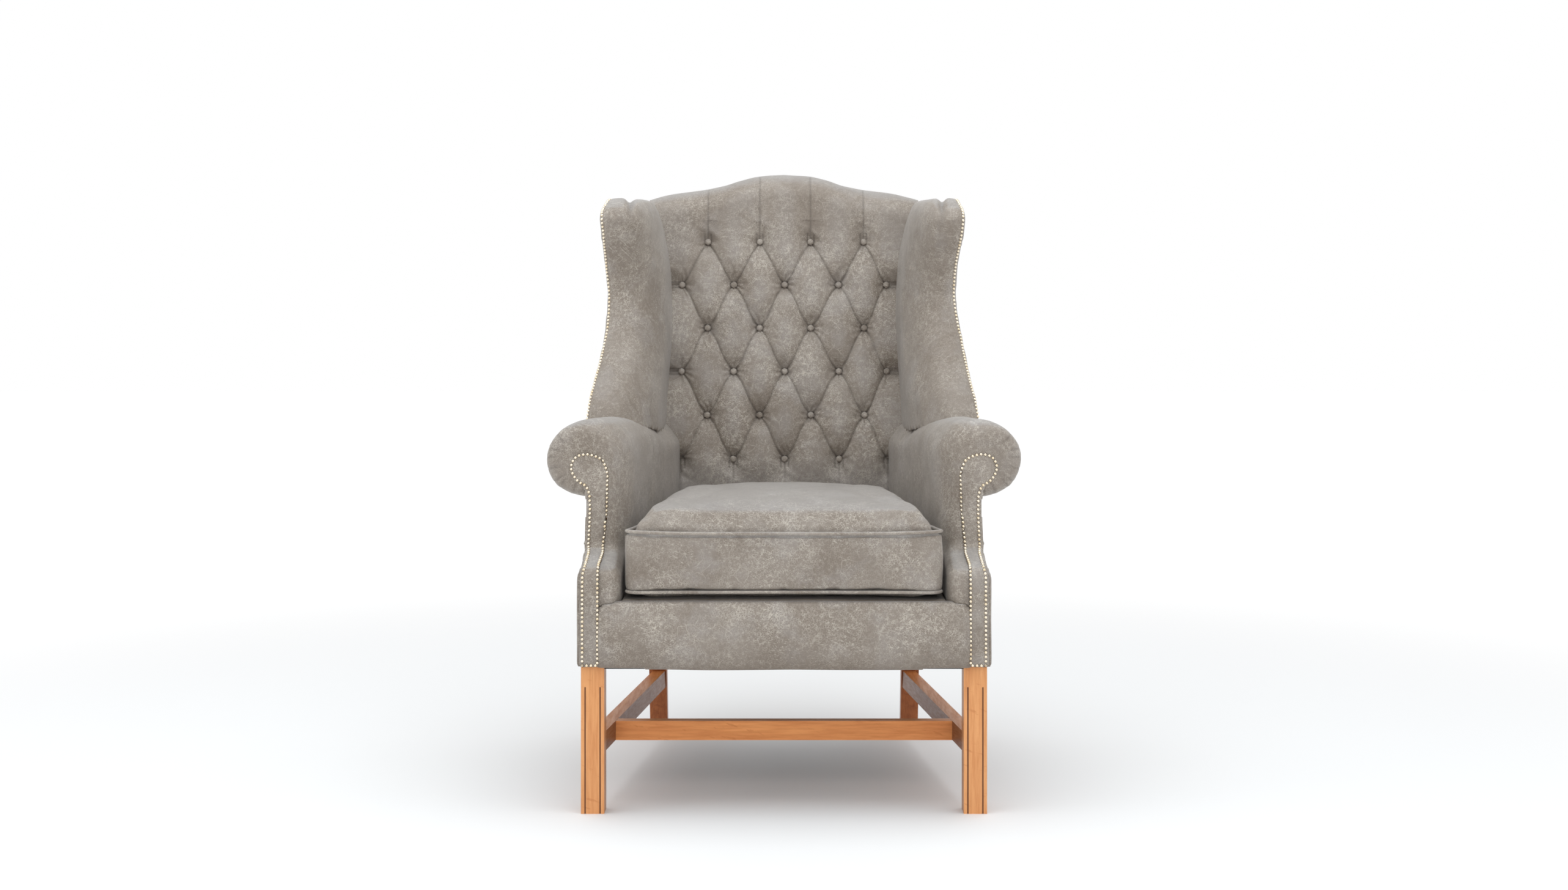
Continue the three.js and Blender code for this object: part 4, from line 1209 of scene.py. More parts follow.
def thread_stitch(length: float, radius: float) -> bpy.types.Object:
    """One stitch of thread, bowed so that its ends dip into the leather.

    Args:
        length: Its length, along X.
        radius: The thread's radius.

    Returns:
        The stitch, at the origin.
    """
    clear_selection()
    bpy.ops.mesh.primitive_cylinder_add(vertices=6, radius=radius, depth=length, rotation=(0, math.pi / 2, 0))
    stitch = bpy.context.object
    bpy.ops.object.transform_apply(rotation=True)
    mesh_tool(stitch, lambda: bpy.ops.mesh.bisect(plane_co=(0, 0, 0), plane_no=(1, 0, 0)))
    points = places(stitch)
    points[:, 2] += radius * (1.2 - 2.4 * (np.abs(points[:, 0]) / (length / 2)) ** 2)
    set_places(stitch, points)
    return stitch


# The tufted back
@dataclass
class TuftedBack:
    """The back pad: six rows of deep buttons in a diamond lattice, with folded pleats between them."""

    column: float = 0.104
    row: float = 0.0842
    rows: int = 6
    top_row: float = 0.970
    sway: float = 0.028
    plain: float = 0.007
    puff: float = 0.0088
    fold: float = 0.82
    pleat: float = 0.0015
    pleat_width: float = 0.0014
    gather: float = 0.0016
    dimple: float = 0.0108
    flat_below: float = 0.4673
    crest_radius: float = 0.046
    crest_share: float = 0.96
    crest_padding: float = 0.014
    crest_flattening: float = 0.45
    ripple: float = 0.0009
    button: float = 0.0062
    button_height: float = 0.62
    button_sunk: float = 0.0046
    rim_width: float = 0.0017
    tuck: float = 0.004
    drawn: tuple[float, ...] = (-0.1993, -0.1490, -0.0980, -0.0475, 0.0012, 0.0520, 0.1066, 0.1562, 0.1998)
    cells: tuple[int, int] = (280, 380)

    @property
    def low_row(self) -> float:
        """Height of the lowest row of buttons."""
        return self.top_row - (self.rows - 1) * self.row

    @property
    def counts(self) -> np.ndarray:
        """The columns' counts from the middle, one for each of the drawn places."""
        return np.linspace(-2, 2, len(self.drawn))

    def lattice(self, x: np.ndarray, z: np.ndarray) -> tuple[np.ndarray, np.ndarray]:
        """Counts diamonds both ways along the lattice, with pleats that sway like a slack S.

        Args:
            x: Places across.
            z: Heights.

        Returns:
            The two counts. A pleat runs where one of them is a whole number.
        """
        # the buttons were pulled by hand, so the columns aren't quite even
        across = np.interp(x, self.drawn, self.counts)
        down = (np.clip(z, self.low_row, self.top_row) - self.top_row) / (2 * self.row)
        one, other = across + down, across - down
        sway = self.sway * fall(z, self.top_row, self.row)
        return (one + sway * np.sin(2 * np.pi * other) - 0.5, other + sway * np.sin(2 * np.pi * one) - 0.5)

    def folded(self, count: np.ndarray, upper_first: bool) -> np.ndarray:
        """Place across a diamond, bent so that its upper edge stands over the pleat like a fold."""
        share = count - np.floor(count)
        return share**self.fold if upper_first else 1 - (1 - share) ** self.fold

    def depth(self, x: np.ndarray, z: np.ndarray) -> tuple[np.ndarray, np.ndarray]:
        """How far the leather stands in front of the face of the back.

        Args:
            x: Places across.
            z: Heights.

        Returns:
            The depth, and how much painted shade each place gets in the pleats, in the dimples and round the
            buttons, in 0..1.
        """
        one, other = self.lattice(x, z)
        rising = np.sin(np.pi * self.folded(one, True)) * np.sin(np.pi * self.folded(other, False))
        puff = 0.32 * np.abs(rising) ** 0.33 + 0.68 * np.abs(rising)
        beyond = np.maximum(np.maximum(z - self.top_row, self.low_row - z), 0) / self.row
        hole = np.abs(np.cos(np.pi * one) * np.cos(np.pi * other)) ** 5 * np.maximum(1 - 2 * beyond, 0)
        fade = ramp(z, self.flat_below, self.low_row - self.flat_below)
        fade = fade * fade * (3 - 2 * fade)
        # a line lies in each pleat, by the distance in metres across it
        to_one, to_other = one - np.round(one), other - np.round(other)
        width = 2 * self.column * self.row / math.hypot(self.column, 2 * self.row)
        near = np.minimum(np.abs(to_one), np.abs(to_other)) * width
        above = ramp(z, self.top_row, 0.02)
        line = bell(near, self.pleat_width) * (1 - 0.15 * above) * fade
        # small gathers run into each button
        reach = np.hypot(to_one, to_other)
        turn = np.arctan2(to_one, to_other)
        gathers = self.gather * np.cos(8 * turn + 3 * np.sin(5 * x / self.column + 7 * z / self.row))
        gathers = gathers * bell(reach, 0.26) * np.clip(reach / 0.07, 0, 1) * (beyond < 0.5)
        puff = puff + 0.35 * above * (1 - puff)
        depth = (self.plain + self.puff * puff - self.pleat * line + gathers) * fade - self.dimple * hole
        # painted shade: a dark rim round each button, added to the darkening of the pleats and dimples
        rim = np.hypot((to_one + to_other) / 2 * self.column, (to_one - to_other) * self.row)
        rim = bell(rim - self.button * 1.05, self.rim_width) * (beyond < 0.2)
        dark = line * (0.22 + 0.3 * bell(reach, 0.3)) + 0.22 * hole**2 * fade + 0.6 * rim
        return depth, np.clip(dark, 0, 1)

    def roll(self, into: Numbers) -> Numbers:
        """How far the crest has rolled back at a share of its radius."""
        return self.crest_radius * (1 - np.sqrt(1 - into * into * self.crest_share))

    def face(self, x: float, z: float) -> float:
        """The frame's y of the leather at a place on the back.

        Args:
            x: The place across.
            z: Its height.

        Returns:
            The y.
        """
        depth, _ = self.depth(np.array([x]), np.array([z]))
        into = min(max(1 - (LINES.crest(x) - z) / self.crest_radius, 0), 1)
        return LINES.row(LINES.back_face(z) - float(depth[0]) + self.roll(into))

    def build(self) -> None:
        """Makes the pad and its buttons."""
        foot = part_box("back_pad")[0].z
        columns, rows = self.cells
        rises = 1 - (1 - np.linspace(0, 1, rows + 1)) ** 1.12
        points, creases, worn = [], [], []
        for share in np.linspace(-1, 1, columns + 1):
            crest = LINES.crest(share * LINES.back_half(LINES.shoulder))
            z = foot + rises * (crest - foot)
            x = share * np.array([LINES.back_half(height) + self.tuck for height in z])
            into = np.clip(1 - (crest - z) / self.crest_radius, 0, 1)
            depth, crease = self.depth(x, z)
            depth = depth * (1 - self.crest_flattening * into**2)
            face = np.stack([x, LINES.row(0) + LINES.back_face(z) - depth + self.roll(into), z], axis=1)
            rear = self.rear(x, crest, foot)
            worn_and_lifted = ramp(depth, self.plain + self.puff * 0.72, self.puff * 0.28)
            # low on the back, behind the cushion, it is marked worn as well: painted light that lifts the
            # shade there
            worn_and_lifted = np.maximum(worn_and_lifted, 2 * fall(z, 0.57, 0.08))
            points.append(np.concatenate([face, rear]))
            creases.append(np.concatenate([crease, np.zeros(len(rear))]))
            worn.append(np.concatenate([worn_and_lifted, np.zeros(len(rear))]))
        piece = self.strips("tufted_back", points)
        # painted shade in the pleats, the dimples and round the buttons ("crease"), wear on the puffs
        # ("worn"), and painted shade over the top of the crest ("shade")
        marked(piece, "crease", np.concatenate(creases))
        marked(piece, "worn", np.concatenate(worn))
        marked(piece, "shade", 0.45 * ramp(np.concatenate(points)[:, 2], 0.96, 0.06))
        shape = places(piece)
        set_places(piece, shape + normals(piece) * (self.ripple * wavy(shape, 0.03, 1.7))[:, None])
        settle(piece, FINISH.leather, "back_pad", fill=0.9)
        self.buttons()

    def rear(self, x: np.ndarray, crest: float, foot: float) -> np.ndarray:
        """The rear side of one column of the pad, from the crest down to the foot.

        Args:
            x: The column's places across, from its foot to its crest.
            crest: Height of its crest.
            foot: Height of its foot.

        Returns:
            Its corners, one row each.
        """
        over = crest - self.crest_padding
        return np.array([
            (x[-1], LINES.row(LINES.post_back(crest) - 0.004), crest - 0.001),
            (x[-1], LINES.row(LINES.post_back(crest)), crest - 0.004),
            (x[-1], LINES.row(LINES.post_back(crest)), over),
            (x[-1], LINES.row(LINES.back_plane(crest) - LINES.back_layer), over),
            (x[0], LINES.row(LINES.back_plane(foot) - LINES.back_layer), foot),
        ])

    @staticmethod
    def strips(name: str, loops: Sequence[np.ndarray]) -> bpy.types.Object:
        """Joins loops of points, side by side, to a closed piece.

        Args:
            name: The piece's name.
            loops: The loops, with as many points in each.

        Returns:
            The piece.
        """
        ring, last = len(loops[0]), len(loops) - 1
        faces = []
        for a in range(0, last * ring, ring):
            for i in range(ring):
                after = (i + 1) % ring
                faces.append((a + ring + i, a + ring + after, a + after, a + i))
        faces.append(tuple(range(ring)))
        faces.append(tuple(reversed(range(last * ring, (last + 1) * ring))))
        mesh = bpy.data.meshes.new(name)
        mesh.from_pydata(np.concatenate(loops).tolist(), [], faces)
        piece = linked(name, mesh)
        face_outward(piece)
        return piece

    def spots(self) -> list[tuple[float, float]]:
        """The places of the buttons, across and up.

        Returns:
            The places, row by row from the top.
        """
        found = []
        for i in range(self.rows):
            z = self.top_row - i * self.row
            steps = (-1.5, -0.5, 0.5, 1.5) if i % 2 == 0 else (-2, -1, 0, 1, 2)
            for step in steps:
                x = float(np.interp(step, self.counts, self.drawn))
                hidden = i == self.rows - 1 and abs(step) == 2
                if abs(x) < LINES.back_half(z) - 0.012 and not hidden:
                    found.append((x, z))
        return found

    def buttons(self) -> None:
        """Sets a leather-covered button in each dimple."""
        clear_selection()
        bpy.ops.mesh.primitive_uv_sphere_add(segments=20, ring_count=12, radius=self.button)
        pattern = bpy.context.object
        shape = places(pattern)
        # domed in front, with the slightly faceted look of leather pulled round a shell
        shape = np.stack([shape[:, 0], shape[:, 2] * self.button_height, shape[:, 1]], axis=1)
        facets = 1 + 0.035 * np.cos(6 * np.arctan2(shape[:, 0], shape[:, 2]))
        shape[:, 0] *= facets
        shape[:, 2] *= facets
        set_places(pattern, shape)
        face_outward(pattern)
        lean = Matrix.Rotation(-math.atan(LINES.rake), 4, "X")
        moves = [Matrix.Translation((x, self.face(x, z) - self.button_sunk, z)) @ lean
                 for x, z in self.spots()]
        settle(scattered("back_buttons", pattern, moves), FINISH.welt)


# Nails
@dataclass
class NailRow:
    """A row of domed decorative nails, set close together along a line."""

    name: str
    head: float = 0.00265
    height: float = 0.0022
    brim: float = 0.0003
    brim_share: float = 1.24
    pitch: float = 0.0073
    lean: float = 1.2

    def pattern(self) -> bpy.types.Object:
        """One nail head, domed towards +Z.

        Returns:
            The head, at the origin.
        """
        clear_selection()
        bpy.ops.mesh.primitive_uv_sphere_add(segments=10, ring_count=6, radius=self.head)
        head = bpy.context.object
        mesh_tool(head, lambda: bpy.ops.mesh.bisect(
            plane_co=(0, 0, -self.head * 0.2), plane_no=(0, 0, 1), clear_inner=True, use_fill=True))
        points = places(head)
        # a dome over a thin brim, pressed into the leather
        low = points[:, 2] < -0.0001
        points[:, 2] = np.where(low, -self.brim, 0.0004 + points[:, 2] * self.height / self.head)
        points[low, :2] *= self.brim_share
        set_places(head, points)
        return head

    def drive(self, line: Sequence[Vector], carriers: Sequence[BVHTree]) -> None:
        """Drives the nails along a line into what carries them.

        Args:
            line: Points near the surface.
            carriers: Surfaces that they sit on.
        """
        moves = []
        for spot, _ in evenly(line, self.pitch):
            hits = [tree.find_nearest(spot) for tree in carriers]
            place, way = min((hit for hit in hits if hit[0] is not None), key=lambda hit: hit[3])[:2]
            way = (way + Vector((0, -self.lean, 0)) * max(-way.y, 0.3)).normalized()
            moves.append(Matrix.Translation(place) @ way.to_track_quat("Z", "Y").to_matrix().to_4x4())
        head = self.pattern()
        # how far down the head each vertex lies, for the painted shade at the rim
        rim = 1 - np.clip(places(head)[:, 2] / self.height, 0, 1)
        piece = scattered(self.name, head, moves)
        marked(piece, "rim", np.tile(rim, len(moves)))
        face_outward(piece)
        piece.data.materials.append(FINISH.nail)
        shade_smoothly(piece)
        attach(piece, Body.CHAIR.value)
        log.info("%s: %d nails", self.name, len(moves))


# The arms
@dataclass
class ScrollArm:
    """One arm: its pad and gathered front as one skin, and the facing with its nails."""

    side: Side
    voxel: float = 0.0055
    rim: float = 0.025
    inner_rim: tuple[float, float] = (0.037, 0.085)
    skin_depth: float = 0.004
    frame_gap: float = 0.002
    sweep: tuple[float, float] = (0.399, 0.030)
    pleat_depth: float = 0.0017
    pleats: tuple[float, ...] = (-70, -52, -35, -17, 2, 21, 41, 116)
    pleat_width: float = 1.7
    pleat_roll: float = 0.0009
    ripple: float = 0.0012
    fullness: float = 0.0032
    lean_in: float = 0.017
    level_fill: float = 0.006
    roll_down: float = 0.014
    hang: float = 0.0045
    facing_voxel: float = 0.0022
    facing_growth: tuple[float, float] = (0.0013, 0.0006)
    facing_stretch: tuple[float, float, float] = (2.6, 1.0, 1.6)
    neck: float = 0.0038
    nail_line: tuple[tuple[float, float], ...] = (
        (-3.2, 249.6), (-3.2, 330), (-3.2, 399), (-0.7, 415), (5, 440), (3, 480), (2.4, 503), (3.2, 524),
        (5, 531.8), (8.7, 539.5), (13.9, 543.7), (20.1, 546.3), (25.4, 551.2), (29.9, 557.3), (33.2, 564.1),
        (34.9, 571.2), (33.9, 578.6), (29.9, 586.6), (24.1, 591.2), (17.6, 593.4), (10, 594.6), (3.2, 593.9),
        (-4.5, 591.8), (-11.6, 589.1), (-17.8, 585), (-21.4, 578.8), (-23.9, 571.9), (-25.8, 564.7),
        (-26.7, 557.3), (-25.3, 503), (-20.6, 450), (-19.5, 440), (-22.4, 415), (-28.2, 399), (-28.2, 330),
        (-28.2, 249.6), (-3.2, 249.6),
    )
    skin: bpy.types.Object = field(init=False)
    facing: bpy.types.Object = field(init=False)

    def build(self) -> None:
        """Makes the arm's upholstery."""
        word = self.side.word
        self.skin = copy_of(f"arm_{word}", f"arm_pad_{word}", f"arm_front_{word}")
        softened(self.skin, self.voxel, 3)
        self.round_front()
        relaxed(self.skin, 3)
        subdivided(self.skin)
        self.gather()
        settle(self.skin, FINISH.leather, f"arm_pad_{word}", f"arm_front_{word}", fill=0.9)
        self.build_facing()
        self.nail()

    def from_edge(self, points: np.ndarray) -> tuple[np.ndarray, np.ndarray, np.ndarray]:
        """Measures places against the arm's rounded outline.

        Args:
            points: Places, one row each.

        Returns:
            Their distances inwards from it, their turns from outwards over the top in degrees, and
            whether they lie along the straight wall below the scroll.
        """
        depth, out = points[:, 1] + LINES.front_to_middle, points[:, 0] * self.side.value
        seat, radius = LINES.seat_line(depth), LINES.scroll_radius(depth)
        x, z = out - seat - radius, points[:, 2] - LINES.scroll_height(depth)
        walled = (z < 0) & (out < LINES.frame_line(depth) + self.frame_gap)
        return np.where(walled, out - seat, radius - np.hypot(x, z)), np.degrees(np.arctan2(z, x)), walled

    def front_face(self, z: np.ndarray) -> np.ndarray:
        """The frame's y of the arm's front face at heights above the sweep and below it."""
        return LINES.row(0) - LINES.cover + ramp(z, *self.sweep) * LINES.arm_setback

    def round_front(self) -> None:
        """Rounds the front edge of the arm over its stuffing, most of all beside the seat."""
        points = places(self.skin)
        edge, turn, walled = self.from_edge(points)
        on_arm = edge > -0.006
        edge = np.clip(edge, 0, None)
        behind = np.clip(points[:, 1] - self.front_face(points[:, 2]), 0, None)
        inner = ramp(np.where(turn < -90, turn + 360, turn), 60, 100)
        low = fall(points[:, 2], 0.50, 0.09)
        across = self.rim + (self.inner_rim[0] * (1 - 0.4 * low) - self.rim) * inner
        back = self.rim + (self.inner_rim[1] * (1 - 0.6 * low) - self.rim) * inner
        at_corner = (edge < across) & (behind < back) & on_arm
        share = np.clip(behind / back - edge / across, -1, 1)
        bend = math.pi / 4 * (1 - share)
        # what lies deeper in the stuffing stays below the new skin
        deep = np.clip(np.minimum(edge, behind) - self.skin_depth, 0, None)
        new_edge, new_behind = across * (1 - np.cos(bend)) + deep, back * (1 - np.sin(bend)) + deep
        depth = points[:, 1] + LINES.front_to_middle
        seat, radius = LINES.seat_line(depth), LINES.scroll_radius(depth)
        middle_x, middle_z = (seat + radius) * self.side.value, LINES.scroll_height(depth)
        dx, dz = points[:, 0] - middle_x, points[:, 2] - middle_z
        scale = (radius - new_edge) / np.maximum(np.hypot(dx, dz), 1e-6)
        moved = points.copy()
        moved[:, 1] += new_behind - behind
        moved[:, 0] = np.where(walled, self.side.value * (seat + new_edge), middle_x + dx * scale)
        moved[:, 2] = np.where(walled, points[:, 2], middle_z + dz * scale)
        points[at_corner] = moved[at_corner]
        set_places(self.skin, points)

    def gather(self) -> None:
        """Gathers the cover in thin radial pleats round the scroll's rim, and softens the rest."""
        points, ways = places(self.skin), normals(self.skin)
        edge, turn, _ = self.from_edge(points)
        behind = points[:, 1] - self.front_face(points[:, 2])
        round_scroll = (points[:, 2] > 0.5) & (behind < 0.045)
        fade = fall(np.abs(edge - 0.010), 0.022) * fall(behind, 0.030) * round_scroll
        crease = np.zeros(len(points))
        for k, angle in enumerate(self.pleats):
            lean = angle + 3 * math.sin(2.3 * k) + 150 * edge * math.sin(1.7 * k)
            gap = (turn - lean + 180) % 360 - 180
            crease = np.maximum(crease, bell(gap, self.pleat_width))
            points += ways * (self.pleat_roll * bell(gap - 4, 4.5) * fade)[:, None]
        shift = -self.pleat_depth * crease * fade + self.ripple * wavy(points, 0.05, 5 + self.side.value)
        # the scroll is stuffed full, and the arm thickens towards the back
        out, depth = points[:, 0] * self.side.value, points[:, 1] + LINES.front_to_middle
        seat = LINES.seat_line(depth)
        full = ramp(points[:, 2], 0.49, 0.05) * ramp(out, seat + 0.012, 0.02)
        points += ways * (shift + self.fullness * full)[:, None]
        near_seat = fall(out, seat + 0.035, 0.03)
        points[:, 0] -= self.side.value * self.lean_in * near_seat * ramp(depth, 0.14, 0.36)
        # its top is filled level under the wing, and rolls down before the back
        level = ramp(depth, 0.08, 0.12) * fall(depth, 0.42, 0.1)
        level *= bell(out - seat - 0.012, 0.025) * ramp(points[:, 2], 0.57, 0.04)
        rolled = ramp(depth, 0.33, 0.1) * near_seat * ramp(points[:, 2], 0.55, 0.06)
        points[:, 2] += self.level_fill * level - self.roll_down * rolled
        # the scroll hangs a little out and down
        hanging = ramp(out, seat + 0.05, 0.06) * ramp(points[:, 2], 0.51, 0.03)
        points[:, 0] += self.side.value * self.hang * hanging
        points[:, 2] -= self.hang * hanging * ramp(points[:, 2], 0.575, 0.05)
        set_places(self.skin, points)
        # painted shade in the pleats and over the scroll's front ("crease", "shade"); wear along the scroll's
        # rim
        marked(self.skin, "crease", crease * fade * 0.5)
        marked(self.skin, "worn", fall(np.abs(edge - 0.004), 0.012) * fall(behind, 0.02) * round_scroll * 0.5)
        marked(self.skin, "shade", 0.35 * round_scroll * fall(behind, 0.012))

    def build_facing(self) -> None:
        """Makes the nailed facing on the arm's front."""
        word = self.side.word
        self.facing = copy_of(f"facing_{word}", f"arm_facing_{word}")
        softened(self.facing, self.facing_voxel, 2)
        points = places(self.facing)
        even, uneven = self.facing_growth
        growth = normals(self.facing) * (even + uneven * wavy(points, 0.04, 2.2))[:, None]
        points += growth * np.array(self.facing_stretch)
        neck = ramp(points[:, 2], 0.415, 0.02) * fall(points[:, 2], 0.545, 0.02)
        outer = ramp(points[:, 0] * self.side.value, 0.318, 0.010)
        points[:, 0] += self.side.value * self.neck * neck * outer
        set_places(self.facing, points)
        settle(self.facing, FINISH.leather, f"arm_facing_{word}", fill=0.6)

    def nail(self) -> None:
        """Nails the facing all the way round."""
        trees = [surface_of(self.facing), surface_of(self.skin)]
        corners = [(across / 1000, up / 1000, 0) for across, up in self.nail_line]
        line = []
        for spot, _ in evenly(corners, 0.0012):
            depth = LINES.arm_setback * ramp(spot.y, *self.sweep)
            x = self.side.value * (LINES.frame_line(depth) + spot.x)
            guess = Vector((x, LINES.row(0) - LINES.cover + depth, spot.y))
            hits = [tree.ray_cast(Vector((x, -1, spot.y)), Vector((0, 1, 0)))[0] for tree in trees]
            line.append(min((hit for hit in hits if hit is not None), key=lambda hit: hit.y, default=guess))
        NailRow(f"facing_nails_{self.side.word}").drive(line, trees)


# The wings
@dataclass
class Wing:
    """One wing: its soft pad with a notched ear, and the nails along its outer edge."""

    side: Side
    voxel: float = 0.0048
    notch: dict[Side, float] = field(default_factory=lambda: {Side.LEFT: 0.0708, Side.RIGHT: 0.0729})
    notch_width: float = 0.0016
    notch_depth: tuple[float, float] = (0.0060, 0.0022)
    eye: float = 3.6
    swell: float = 0.024
    full_room: float = 0.33
    ripple: float = 0.0016
    spread: float = 0.011
    spread_reach: float = 0.09
    foot: tuple[float, float] = (0.80, 0.12)
    flare_reach: float = 0.16
    flares: dict[Side, tuple[tuple[float, ...], tuple[float, ...]]] = field(default_factory=lambda: {
        Side.LEFT: ((0.66, 0.715, 0.78, 0.91, 0.98, 1.04), (0.0095, 0.0120, 0.0150, 0.0165, 0.0090, 0.0095)),
        Side.RIGHT: ((0.66, 0.70, 0.79, 0.86, 0.93, 1.04), (0.0045, 0.0055, 0.0128, 0.0068, 0.0036, 0.0036)),
    })
    sink: tuple[float, float] = (0.007, 0.010)
    cover_sink: tuple[float, float] = (0.010, 0.004)
    sink_reach: float = 0.04
    closing: tuple[float, float] = (0.0065, 0.022)
    nails_from: float = 0.628
    nails_turn: float = 1.012
    nail_setback: float = 0.0101
    nail_inset: float = 0.0092
    ear_rise: float = 0.034
    ear_inset: float = 0.006
    ear_run: float = 0.30
    pad: bpy.types.Object = field(init=False)

    def build(self) -> None:
        """Makes the wing's upholstery."""
        word = self.side.word
        self.pad = copy_of(f"wing_{word}", f"wing_pad_{word}")
        softened(self.pad, self.voxel, 4)
        subdivided(self.pad)
        self.crease()
        settle(self.pad, FINISH.leather, f"wing_pad_{word}", fill=0.9)
        self.nail()

    def flare(self, z: Numbers) -> Numbers:
        """How far the wing's front is stuffed out beyond the frame's line at a height."""
        return np.interp(z, *self.flares[self.side])

    def flare_cover(self, points: np.ndarray) -> None:
        """Brings the outside cover of the wing out and down with its front roll.

        Args:
            points: The cover's places, one row each, which are moved.
        """
        depth = points[:, 1] + LINES.front_to_middle
        behind = depth - LINES.wing_fronts(points[:, 2])
        before = self.arm_top(points, depth)
        low = fall(points[:, 2], *self.foot)
        points[:, 0] += self.side.value * self.flare(points[:, 2]) * fall(behind, self.flare_reach)
        points[:, 0] += self.side.value * self.spread * low * fall(behind, self.spread_reach)
        self.sink_into_arm(points, depth, before, self.cover_sink)

    def sink_into_arm(self, points: np.ndarray, depth: np.ndarray, before: np.ndarray, by: tuple) -> None:
        """Lowers a foot with the arm, by at most the first of two lengths, and into it by the second."""
        sunk = np.clip(before - self.arm_top(points, depth), 0, by[0]) + by[1]
        points[:, 2] -= sunk * fall(points[:, 2] - before, self.sink_reach)

    def crease(self) -> None:
        """Presses the fold behind the ear's roll, tucks the foot into the arm and softens the pad."""
        points, ways = places(self.pad), normals(self.pad)
        depth = points[:, 1] + LINES.front_to_middle
        front = LINES.wing_fronts(points[:, 2])
        behind = depth - front
        out = points[:, 0] * self.side.value
        # the inside swells behind the front roll, so that the roll is broad and soft
        from_outer = LINES.wing_line(depth, points[:, 2]) - out
        inside = ramp(from_outer, 0.014, 0.026)
        plane = LINES.back_plane(points[:, 2])
        room = plane - LINES.back_thickness - front
        along = np.clip(behind / room, 0, 1) ** 0.62
        before = self.arm_top(points, depth)
        roomy = np.clip(room / self.full_room, 0, 1)
        points[:, 0] -= self.side.value * self.swell * roomy * inside * np.sin(math.pi * along)
        # a notch runs back over the ear, and its fold fades down the inside
        off = np.abs(points[:, 0]) / (depth + self.eye) - self.notch[self.side]
        fold = bell(off, self.notch_width) * ramp(points[:, 2], 0.965, 0.06) ** 1.5
        points[:, 2] -= self.notch_depth[0] * fold
        shift = self.ripple * wavy(points, 0.075, 11 + self.side.value) - self.notch_depth[1] * fold
        points += ways * shift[:, None]
        # the front roll is full, and the foot runs down into the arm
        near_front = fall(behind, self.spread_reach)
        points[:, 0] += self.side.value * self.spread * fall(points[:, 2], *self.foot) * near_front
        edge = fall(behind, self.flare_reach) * fall(from_outer, 0.05)
        points[:, 0] += self.side.value * self.flare(points[:, 2]) * edge
        # the rear end closes up against the back
        points[:, 1] += self.closing[0] * fall(plane - LINES.cover - depth, self.closing[1])
        self.sink_into_arm(points, depth, before, self.sink)
        set_places(self.pad, points)
        # painted shade in the fold over the ear and over the low front of the wing
        marked(self.pad, "crease", fold * 0.35)
        marked(self.pad, "shade", 0.6 * fall(points[:, 2], 0.86, 0.14) * near_front)

    def arm_top(self, points: np.ndarray, depth: np.ndarray) -> np.ndarray:
        """Height of the arm's surface under places on the wing.

        Args:
            points: The places, one row each.
            depth: Their depths behind the front legs' face.

        Returns:
            The heights.
        """
        radius = LINES.scroll_radius(depth)
        over = points[:, 0] * self.side.value - LINES.seat_line(depth) - radius
        return LINES.scroll_height(depth) + np.sqrt(np.clip(radius**2 - over**2, 0, None))

    def nail(self) -> None:
        """Nails the wing's outer edge from the arm up and over the ear."""
        line = []
        face = surface_of(self.pad)
        for z in self.nails_from + (self.nails_turn - self.nails_from) * np.linspace(0, 1, 90):
            depth = LINES.wing_front(z) + self.nail_setback
            full = self.flare(z) + self.spread * fall(z, *self.foot)
            x = self.side.value * (LINES.wing_line(depth, z) + full - self.nail_inset)
            hit = face.ray_cast(Vector((x, -1, z)), Vector((0, 1, 0)))[0]
            line.append(hit or Vector((x, LINES.row(depth), z)))
        for step in np.linspace(0.05, 1, 40):
            # over the ear, and back along the top of the wing
            climb = math.sin(min(step / 0.2, 1) * math.pi / 2)
            depth = LINES.wing_front(self.nails_turn) + 0.010 + self.ear_run * max(step - 0.08, 0)
            z = self.nails_turn + self.ear_rise * climb
            out = LINES.wing_line(depth, z) + self.flare(z) * (1 - step) - self.ear_inset * climb
            line.append(Vector((self.side.value * out, LINES.row(depth), z)))
        outside = bpy.data.objects[f"outside_wing_panel_{self.side.word}_cover"]
        NailRow(f"wing_nails_{self.side.word}", lean=2.5).drive(line, [face, surface_of(outside)])


